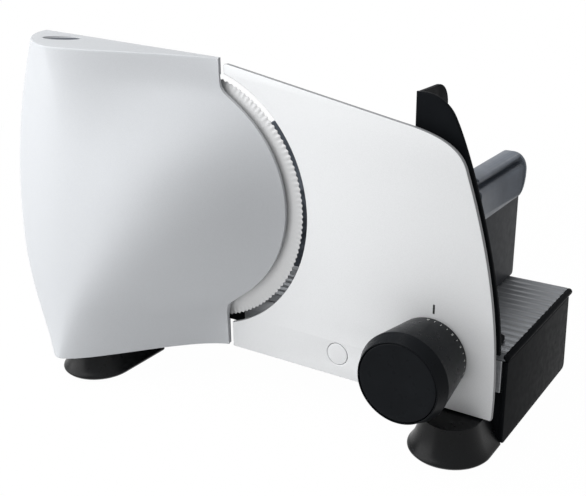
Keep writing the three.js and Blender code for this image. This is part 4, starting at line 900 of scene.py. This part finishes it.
def makeDialPrint():
    # numbers round the knob, with a stroke half way between each two
    shapes = [(number, dial.along, *figureShape(number)) for number in range(dial.last + 1)]
    shapes += [(number + 0.5, dial.strokeAlong, *strokeShape()) for number in range(dial.last)]
    points, faces, start = [], [], 0
    for step, along, flat, flatFaces in shapes:
        offset = math.radians(step * dial.stepDegrees) * knob.baseRadius
        points.append(wrapOnCone(flat + (offset, along, dial.lift - dial.depth / 2)))
        faces += [[start + corner for corner in face] for face in flatFaces]
        start += len(flat)
    return newPiece("dial_figures", np.concatenate(points), faces)


fit(makeDialPrint(), "knob", printWhite)
print("knob and scale")


# Feet

foot = Values(
    lip=((0, 3.5), (24.1, 3.5), (26.3, 5.7), (24.9, 7.6)), lipRounds=(0, 1.2, 1.4, 0),
    lowPull=(21.6, 11.4), highPull=(1.6, -6.0), neck=17.8, top=26.1, right=(193.6, -6.6),
    rightBack=9.6, left=(-64.0, -40.0), leftBack=0.0, gap=0.3, sink=3.0,
)


def bellProfile(top):
    # a rounded lip, then a flank that runs in a curve to the neck
    lip = roundCorners(foot.lip, foot.lipRounds, count=8, closed=False)[1:]
    neck = np.array([foot.neck, top])
    flank = bezier(foot.lip[-1], foot.lowPull, neck + foot.highPull, neck, count=30)[1:]
    return np.concatenate([lip, flank])


def makeBellFoot(name, centre, back, top, ceiling=None):
    # Level rings: a half circle in front that runs straight back to a flat end.
    profile = bellProfile(top)
    turn = np.radians(line(180, 360, count=90))
    width = profile[:, :1]
    run = line(0, 1, count=8)[1:] * (back - centre[1])
    sideX, sideY = np.broadcast_arrays(width, run)
    x = np.concatenate([width * np.cos(turn), sideX, -sideX[:, ::-1]], axis=1) + centre[0]
    y = np.concatenate([width * np.sin(turn), sideY, sideY[:, ::-1]], axis=1) + centre[1]
    z = profile[:, 1:]
    if ceiling:
        z = np.minimum(z, ceiling(x))
    return ringStack(name, xyz(x, y, z), sharp=50)


def underHousing(x):
    return housingBottom(x) - foot.gap


rightFoot = makeBellFoot("right_bell_foot_form", foot.right, foot.rightBack, foot.top)
fit(rightFoot, "base", footMoulding, "right_bell_foot")
leftTop = underHousing(foot.left[0]) + foot.sink
leftFoot = makeBellFoot("left_bell_foot_form", foot.left, foot.leftBack, leftTop, underHousing)
fit(leftFoot, "base", footMoulding, "left_bell_foot")
print("feet")


# Base end and carriage

panel = Values(
    left=216.8, right=220.0, front=10.0, back=128.5, topBack=124.0, bottom=4.8, top=61.2,
    rounds=(4.0, 4.0, 1.2, 1.2), edge=0.9,
)
panelOutline = roundCorners(
    [(panel.front, panel.bottom), (panel.back, panel.bottom), (panel.topBack, panel.top),
     (panel.front, panel.top)], panel.rounds)
fit(slab("end_panel_plate", [panelOutline], panel.left, panel.right, panel.edge, "yz"),
    "base", blackMoulding, "end_panel")

# The panel's front edge turns inward under the rail.
turnIn = Values(
    left=196.0, right=219.1, bottom=8.0, top=39.8, front=10.2, back=12.6, corner=2.0, edge=0.5,
)
turnInOutline = roundCorners(rectangle(*turnIn.pick("left right bottom top")), turnIn.corner)
fit(slab("end_panel_return", [turnInOutline], turnIn.front, turnIn.back, turnIn.edge),
    "base", blackMoulding)

tray = Values(
    left=16.0, right=218.4, front=9.2, back=123.5, bottom=61.8, top=67.0, ribs=15, ribHeight=1.3,
    perRib=16,
)


def makeTray():
    # The section is carried along X; its top is z = top - height sin^2(pi n), with n in ribs from the front.
    front, back, bottom, ribs = tray.pick("front back bottom ribs")
    count = np.linspace(ribs, 0, ribs * tray.perRib + 1)
    ribZ = tray.top - tray.ribHeight * np.sin(math.pi * count) ** 2
    ribY = mix(front, back, count / ribs)
    section = joinPaths((front, bottom), (back, bottom), np.column_stack([ribY, ribZ]))
    stations = line(tray.left, tray.right, count=12)
    return ringStack("carriage_tray_deck", xyz(stations[:, None], *section.T), sharp=60)


fit(makeTray(), "carriage", trayMetal, "carriage_tray")

bead = Values(x=219.3, z=64.2, radius=2.2, front=8.8, back=125.5, edge=0.8)
fit(rod("tray_end_bead_rod", bead.radius, bead.front, bead.back, (bead.x, 0, bead.z), "y",
        bead.edge, sides=48), "carriage", blackMoulding, "tray_end_bead")

wall = Values(
    left=175.0, right=178.0, front=8.8, back=127.8, bottom=67.3, top=146.0, corner=3.0, edge=0.8,
)
# the wall's darker grey is painted shade
wallOutline = roundCorners(rectangle(*wall.pick("front back bottom top")), wall.corner)
fit(slab("carriage_wall_panel", [wallOutline], wall.left, wall.right, wall.edge, "yz"),
    "carriage", shadedWallMoulding, "carriage_wall")

guard = Values(
    left=157.0, right=216.0, bottom=66.0, top=214.8, front=5.5, thickness=3.0, edge=0.8,
    flankPull=38.8, brow=(-36.0, -10.5), browLow=(12.8, -21.9), browHigh=(-4.0, 6.0), crownPull=12.0,
    crown=4.0, wingBack=43.5, wingBottom=149.0, wingRound=13.0, footLeft=180.0, footRight=212.0,
    footBottom=67.3, footFront=6.5, footBack=26.5, footRound=3.0,
)


def makeGuard():
    # a plate with a sloping outer edge, a wing along the food and a foot on the tray
    left, right, bottom, top, front = guard.pick("left right bottom top front")
    thickness, edge, footBottom = guard.pick("thickness edge footBottom")
    wingRound, footRound = guard.pick("wingRound footRound")
    brow = np.array([right, top]) + guard.brow
    outline = joinPaths(
        (left, bottom),
        bezier((right, bottom), (right, bottom + guard.flankPull), brow + guard.browLow, brow, count=40),
        bezier(brow, brow + guard.browHigh, (left + guard.crownPull, top),
               (left + guard.crown, top), count=20),
        (left, top),
    )
    wing = roundCorners(rectangle(front, guard.wingBack, guard.wingBottom, top),
                        [0, wingRound, wingRound, 0], count=14)
    sole = roundCorners(rectangle(*guard.pick("footLeft footRight footFront footBack")),
                        [0, 0, footRound, footRound])
    return weld("hand_guard_plate",
                slab("guard_plate", [outline], front, front + thickness, edge),
                slab("guard_wing", [wing], left, left + thickness, edge, "yz"),
                slab("guard_foot", [sole], footBottom, footBottom + thickness, edge, "xy"))


fit(makeGuard(), "carriage", blackMoulding, "hand_guard")

saddle = Values(
    left=163.9, inner=174.6, outer=178.4, face=180.6, top=156.0, slotTop=146.4, innerBottom=108.0,
    bottom=126.0, front=53.5, back=126.0, corner=4.0, cornerPull=2.0, crest=168.9, hem=0.8,
    hemHeight=5.0, lip=178.4, lipPull=2.2, rollPull=2.4, fingerEnd=173.8, fingerFloor=148.2,
    fingerTop=153.0, faceTop=143.6, facePull=1.6, floorPull=1.2, edge=0.35,
)
flange = Values(
    proud=182.8, widest=144.0, round=10.0, lowPull=(-1.1, 3.3), sidePull=11.0, highPull=(-4.0, 5.0),
    thickness=2.2, inset=1.0, edge=0.7,
)


def saddleSection(*outerSide):
    # the saddle's cut across Y, with the outline of its outer side from the bottom up
    left, inner, outer, top, slotTop, low = saddle.pick("left inner outer top slotTop bottom")
    corner, pull = saddle.pick("corner cornerPull")
    return joinPaths(
        (left, saddle.innerBottom), (inner, saddle.innerBottom), (inner, slotTop), (outer, slotTop),
        (outer, low), (outer + saddle.hem, low), *outerSide,
        bezier((left + corner, top), (left + pull, top), (left, top - pull), (left, top - corner),
               count=12),
    )


def makeSaddle():
    # a flat face with a finger slot above it and a roll over the top, closed by a flange at the back
    outer, face, top, low, back = saddle.pick("outer face top bottom back")
    lip, slotEnd, slotFloor, slotRoof = saddle.pick("lip fingerEnd fingerFloor fingerTop")
    proud, widest = flange.pick("proud widest")
    lowX, lowZ = flange.lowPull
    highX, highZ = flange.highPull
    grip = saddleSection(
        (face, low + saddle.hemHeight),
        bezier((face, saddle.faceTop), (face, slotFloor - saddle.facePull),
               (face - saddle.floorPull, slotFloor), (slotEnd, slotFloor), count=14),
        (slotEnd, slotRoof),
        bezier((lip, slotRoof), (lip, slotRoof + saddle.lipPull), (lip - saddle.rollPull, top),
               (saddle.crest, top)),
    )
    end = saddleSection(
        bezier((outer + saddle.hem, low), (proud + lowX, low + lowZ), (proud, low + flange.sidePull),
               (proud, widest), count=16),
        bezier((proud, widest), (proud, top - highZ), (proud + highX, top), (proud - flange.round, top),
               count=18),
    )
    return [slab("pusher_saddle", [grip], saddle.front, back - flange.inset, saddle.edge),
            slab("pusher_flange", [end], back - flange.thickness, back, flange.edge)]


pusher = Values(
    left=17.0, right=174.3, bottom=70.0, top=176.0, shoulder=154.0, shoulderTop=146.0,
    rounds=(3.0, 0, 0, 3.0, 4.0, 18.0), front=53.5, thickness=3.5, edge=0.8,
)
spikes = Values(rows=3, columns=5, radius=2.2, height=3.0, tipRadius=0.3, tipHeight=0.15, root=0.5)


def makePusher():
    left, right, low, top, front = pusher.pick("left right bottom top front")
    shoulder, shoulderTop = pusher.pick("shoulder shoulderTop")
    outline = roundCorners([(left, low), (right, low), (right, shoulderTop), (shoulder, shoulderTop),
                            (shoulder, top), (left, top)], pusher.rounds, count=10)
    parts = [*makeSaddle(), slab("pusher_plate", [outline], front, front + pusher.thickness, pusher.edge)]
    tip = front - spikes.height
    root = front + spikes.root
    spike = [(0, tip), (spikes.tipRadius, tip + spikes.tipHeight), (spikes.radius, root), (0, root)]
    for z in np.linspace(low, shoulderTop, spikes.rows + 2)[1:-1]:
        for x in np.linspace(left, shoulder, spikes.columns + 2)[1:-1]:
            parts.append(turned("spike", "y", spike, (x, 0, z), sides=20))
    return weld("food_pusher_body", *parts)


fit(makePusher(), "pusher", gripMoulding, "food_pusher")
print("carriage and pusher")


# Small pieces: pads, screws, the cord's gland, guide rods and pressed or moulded frames

frontPad = Values(radius=14.0, height=3.2, edge=0.7)
rearPad = Values(radius=10.0, height=4.7, edge=0.7, left=(-101.0, 110.0), right=(199.5, 110.0))
for nodeName, padSpot, pad in (
    ("right_foot_pad", foot.right, frontPad),
    ("left_foot_pad", foot.left, frontPad),
    ("rear_left_foot", rearPad.left, rearPad),
    ("rear_right_foot", rearPad.right, rearPad),
):
    padPiece = rod(nodeName + "_disc", pad.radius, 0, pad.height, (*padSpot, 0), "z", pad.edge)
    fit(padPiece, "base", rubberBlack, nodeName)


# edge and slot are shares of a head's radius
screws = Values(edge=0.12, slot=0.25, sides=48)


def fitScrews(kind, body, radius, height, spots, axis):
    # flat heads with a driver slot along X, their tops at the spots
    long, wide, deep = 2 * radius, screws.slot * radius / 2, height / 2
    half = np.array((long, deep, wide) if axis == "y" else (long, wide, deep))
    for number, spot in enumerate(spots, 1):
        nodeName = f"{kind}_{number}"
        head = rod(nodeName + "_head", radius, -height, 0, spot, axis, radius * screws.edge, screws.sides)
        carve(head, brick("slot", spot - half, spot + half))
        fit(head, body, drawnSteel, nodeName)


coverSpots = [(x, 0, z) for x, z in cover.screws]
fitScrews("cover_screw", "base", cover.screwRadius, cover.thickness / 2, coverSpots, "y")
guardScrews = Values(radius=3.5, height=2.0, spots=((188.0, 17.5, 72.6), (204.0, 17.5, 72.6)))
fitScrews("guard_screw", "carriage", *guardScrews.pick("radius height spots"), "z")

gland = Values(
    spot=(-124.0, 0, 62.0), radius=6.5, noseRadius=5.0, bore=3.4, base=0.3, floor=1.3, middle=4.0,
    length=8.0, rounds=(0, 0.3, 1.5, 0.5, 0.5, 0, 0),
)
glandCorners = [(0, gland.base), (gland.radius, gland.base), (gland.radius, gland.middle),
                (gland.noseRadius, gland.length), (gland.bore, gland.length),
                (gland.bore, gland.floor), (0, gland.floor)]
glandProfile = roundCorners(glandCorners, gland.rounds, count=6, closed=False)
fit(turned("cord_gland_ring", "y", glandProfile, gland.spot, sides=64),
    "base", blackMoulding, "cord_gland")

guideRods = Values(radius=3.5, front=2.1, back=46.1, left=84.0, right=140.0, z=35.0, edge=0.5)
for side in ("left", "right"):
    nodeName = "guide_rod_" + side
    rodSpot = (guideRods[side], 0, guideRods.z)
    rodPiece = rod(nodeName + "_bar", *guideRods.pick("radius front back"), rodSpot, "y", guideRods.edge)
    fit(rodPiece, "stop", drawnSteel, nodeName)


def softened(nodeName, width, flatAngle=2, edgeAngle=35):
    # the node's own mesh, merged, with its edges broken by a small round
    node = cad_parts[nodeName]
    shape = bmesh.new()
    shape.from_mesh(node.data)
    bmesh.ops.transform(shape, matrix=node.matrix_world, verts=shape.verts)
    bmesh.ops.remove_doubles(shape, verts=shape.verts, dist=mergeDistance)
    flat = math.radians(flatAngle)
    bmesh.ops.dissolve_limit(shape, angle_limit=flat, verts=shape.verts, edges=shape.edges)
    mesh = bpy.data.meshes.new(nodeName + "_soft")
    shape.to_mesh(mesh)
    shape.free()
    piece = placed(nodeName + "_soft", mesh)
    bevel = piece.modifiers.new("edges", "BEVEL")
    bevel.width = width * mm
    bevel.segments = 3
    bevel.limit_method = "ANGLE"
    bevel.angle_limit = math.radians(edgeAngle)
    settle(piece)
    for face in piece.data.polygons:
        face.use_smooth = True
    piece.data.set_sharp_from_angle(angle=math.radians(edgeAngle))
    return piece


fit(softened("base_frame", width=0.7), "base", blackMoulding, "base_frame")
fit(softened("front_rail", width=0.4), "base", railMetal, "front_rail")
fit(softened("plate_bracket", width=0.4), "stop", railMetal, "plate_bracket")
fit(softened("carriage_runner", width=0.5), "carriage", blackMoulding, "carriage_runner")
print("small pieces")


# Floor, light and camera

studio = Values(
    floor=8.0, floorTone=0.93, floorRoughness=0.9, whiteShare=0.99, nearWhite=0.35, farWhite=0.9,
    skyStrength=0.2,
)


def addMath(tree, operation, first, second):
    return addNode(tree, "Math", {0: first, 1: second}, operation=operation)[0]


def backgroundShare(tree):
    # one for rays from the eye, off a mirror or through glass
    path = addNode(tree, "LightPath", {})
    share = addMath(tree, "MAXIMUM", path["Is Camera Ray"], path["Is Glossy Ray"])
    return addMath(tree, "MAXIMUM", share, path["Is Transmission Ray"])


def addBlend(tree, share, first, second, output):
    blend = addNode(tree, "MixShader", {"Fac": share, 1: first, 2: second})["Shader"]
    setInputs(tree, tree.nodes[output], {"Surface": blend})


def makeFloor():
    # A pale sheet that keeps the shadow near the slicer and goes to white further out.
    half = studio.floor
    mesh = bpy.data.meshes.new("studio_floor")
    mesh.from_pydata([(x, y, 0) for x, y in rectangle(-half, half, -half, half)], [], [(0, 1, 2, 3)])
    floor = placed("studio_floor", mesh)
    material = bpy.data.materials.new("studio_floor")
    material.use_nodes = True
    tree = material.node_tree
    shader = tree.nodes["Principled BSDF"]
    tone = (studio.floorTone,) * 3 + (1,)
    values = {"Base Color": tone, "Roughness": studio.floorRoughness, "Specular IOR Level": 0.0}
    setInputs(tree, shader, values)
    place = addNode(tree, "TexCoord", {})["Object"]
    distance = addNode(tree, "VectorMath", {0: place}, operation="LENGTH")["Value"]
    ends = {"From Min": studio.nearWhite, "From Max": studio.farWhite, "To Min": studio.whiteShare}
    spread = addNode(tree, "MapRange", {"Value": distance, **ends}, interpolation_type="SMOOTHSTEP")["Result"]
    share = addMath(tree, "MULTIPLY", spread, backgroundShare(tree))
    white = addNode(tree, "Emission", {})["Emission"]
    addBlend(tree, share, shader.outputs["BSDF"], white, "Material Output")
    mesh.materials.append(material)


def makeWorld():
    # White to the eye; the light it gives is softer.
    world = bpy.data.worlds.new("studio")
    bpy.context.scene.world = world
    world.use_nodes = True
    tree = world.node_tree
    sky = tree.nodes["Background"]
    setInputs(tree, sky, {"Color": (1, 1, 1, 1), "Strength": studio.skyStrength})
    white = addNode(tree, "Background", {"Color": (1, 1, 1, 1)})["Background"]
    addBlend(tree, backgroundShare(tree), sky.outputs["Background"], white, "World Output")


lamps = [
    Values(name="left_front_softbox", spot=(-0.66, -0.62, 0.36), aim=(-0.05, 0, 0.13), size=0.9, power=6.4),
    Values(name="top_softbox", spot=(-0.35, -0.42, 1.2), aim=(0, 0, 0.1), size=1.2, power=15.0),
]


def makeLamps():
    for lamp in lamps:
        light = bpy.data.lights.new(lamp.name, "AREA")
        light.size = lamp.size
        light.energy = lamp.power
        holder = placed(lamp.name, light)
        holder.location = lamp.spot
        aim = Vector(lamp.aim) - Vector(lamp.spot)
        holder.rotation_euler = aim.to_track_quat("-Z", "Y").to_euler()


eye = Values(
    azimuth=33.501, elevation=20.562, roll=0.7155, fromBlade=(0.37982, -0.45730, 0.18347), lens=56.44,
    sensor=36.0, nearest=0.01,
)


def makeCamera():
    turns = [("Z", eye.azimuth), ("X", 90 - eye.elevation), ("Z", -eye.roll)]
    azimuth, tilt, roll = (Matrix.Rotation(math.radians(angle), 4, axis) for axis, angle in turns)
    lens = bpy.data.cameras.new("photo_camera")
    lens.lens = eye.lens
    lens.sensor_width = eye.sensor
    lens.clip_start = eye.nearest
    camera = placed("photo_camera", lens)
    spot = Matrix.Translation(Vector(bladeCentre) + Vector(eye.fromBlade))
    camera.matrix_world = spot @ azimuth @ tilt @ roll
    bpy.context.scene.camera = camera


makeFloor()
makeWorld()
makeLamps()
makeCamera()
bpy.context.scene.view_settings.view_transform = "Standard"
print("studio and camera")
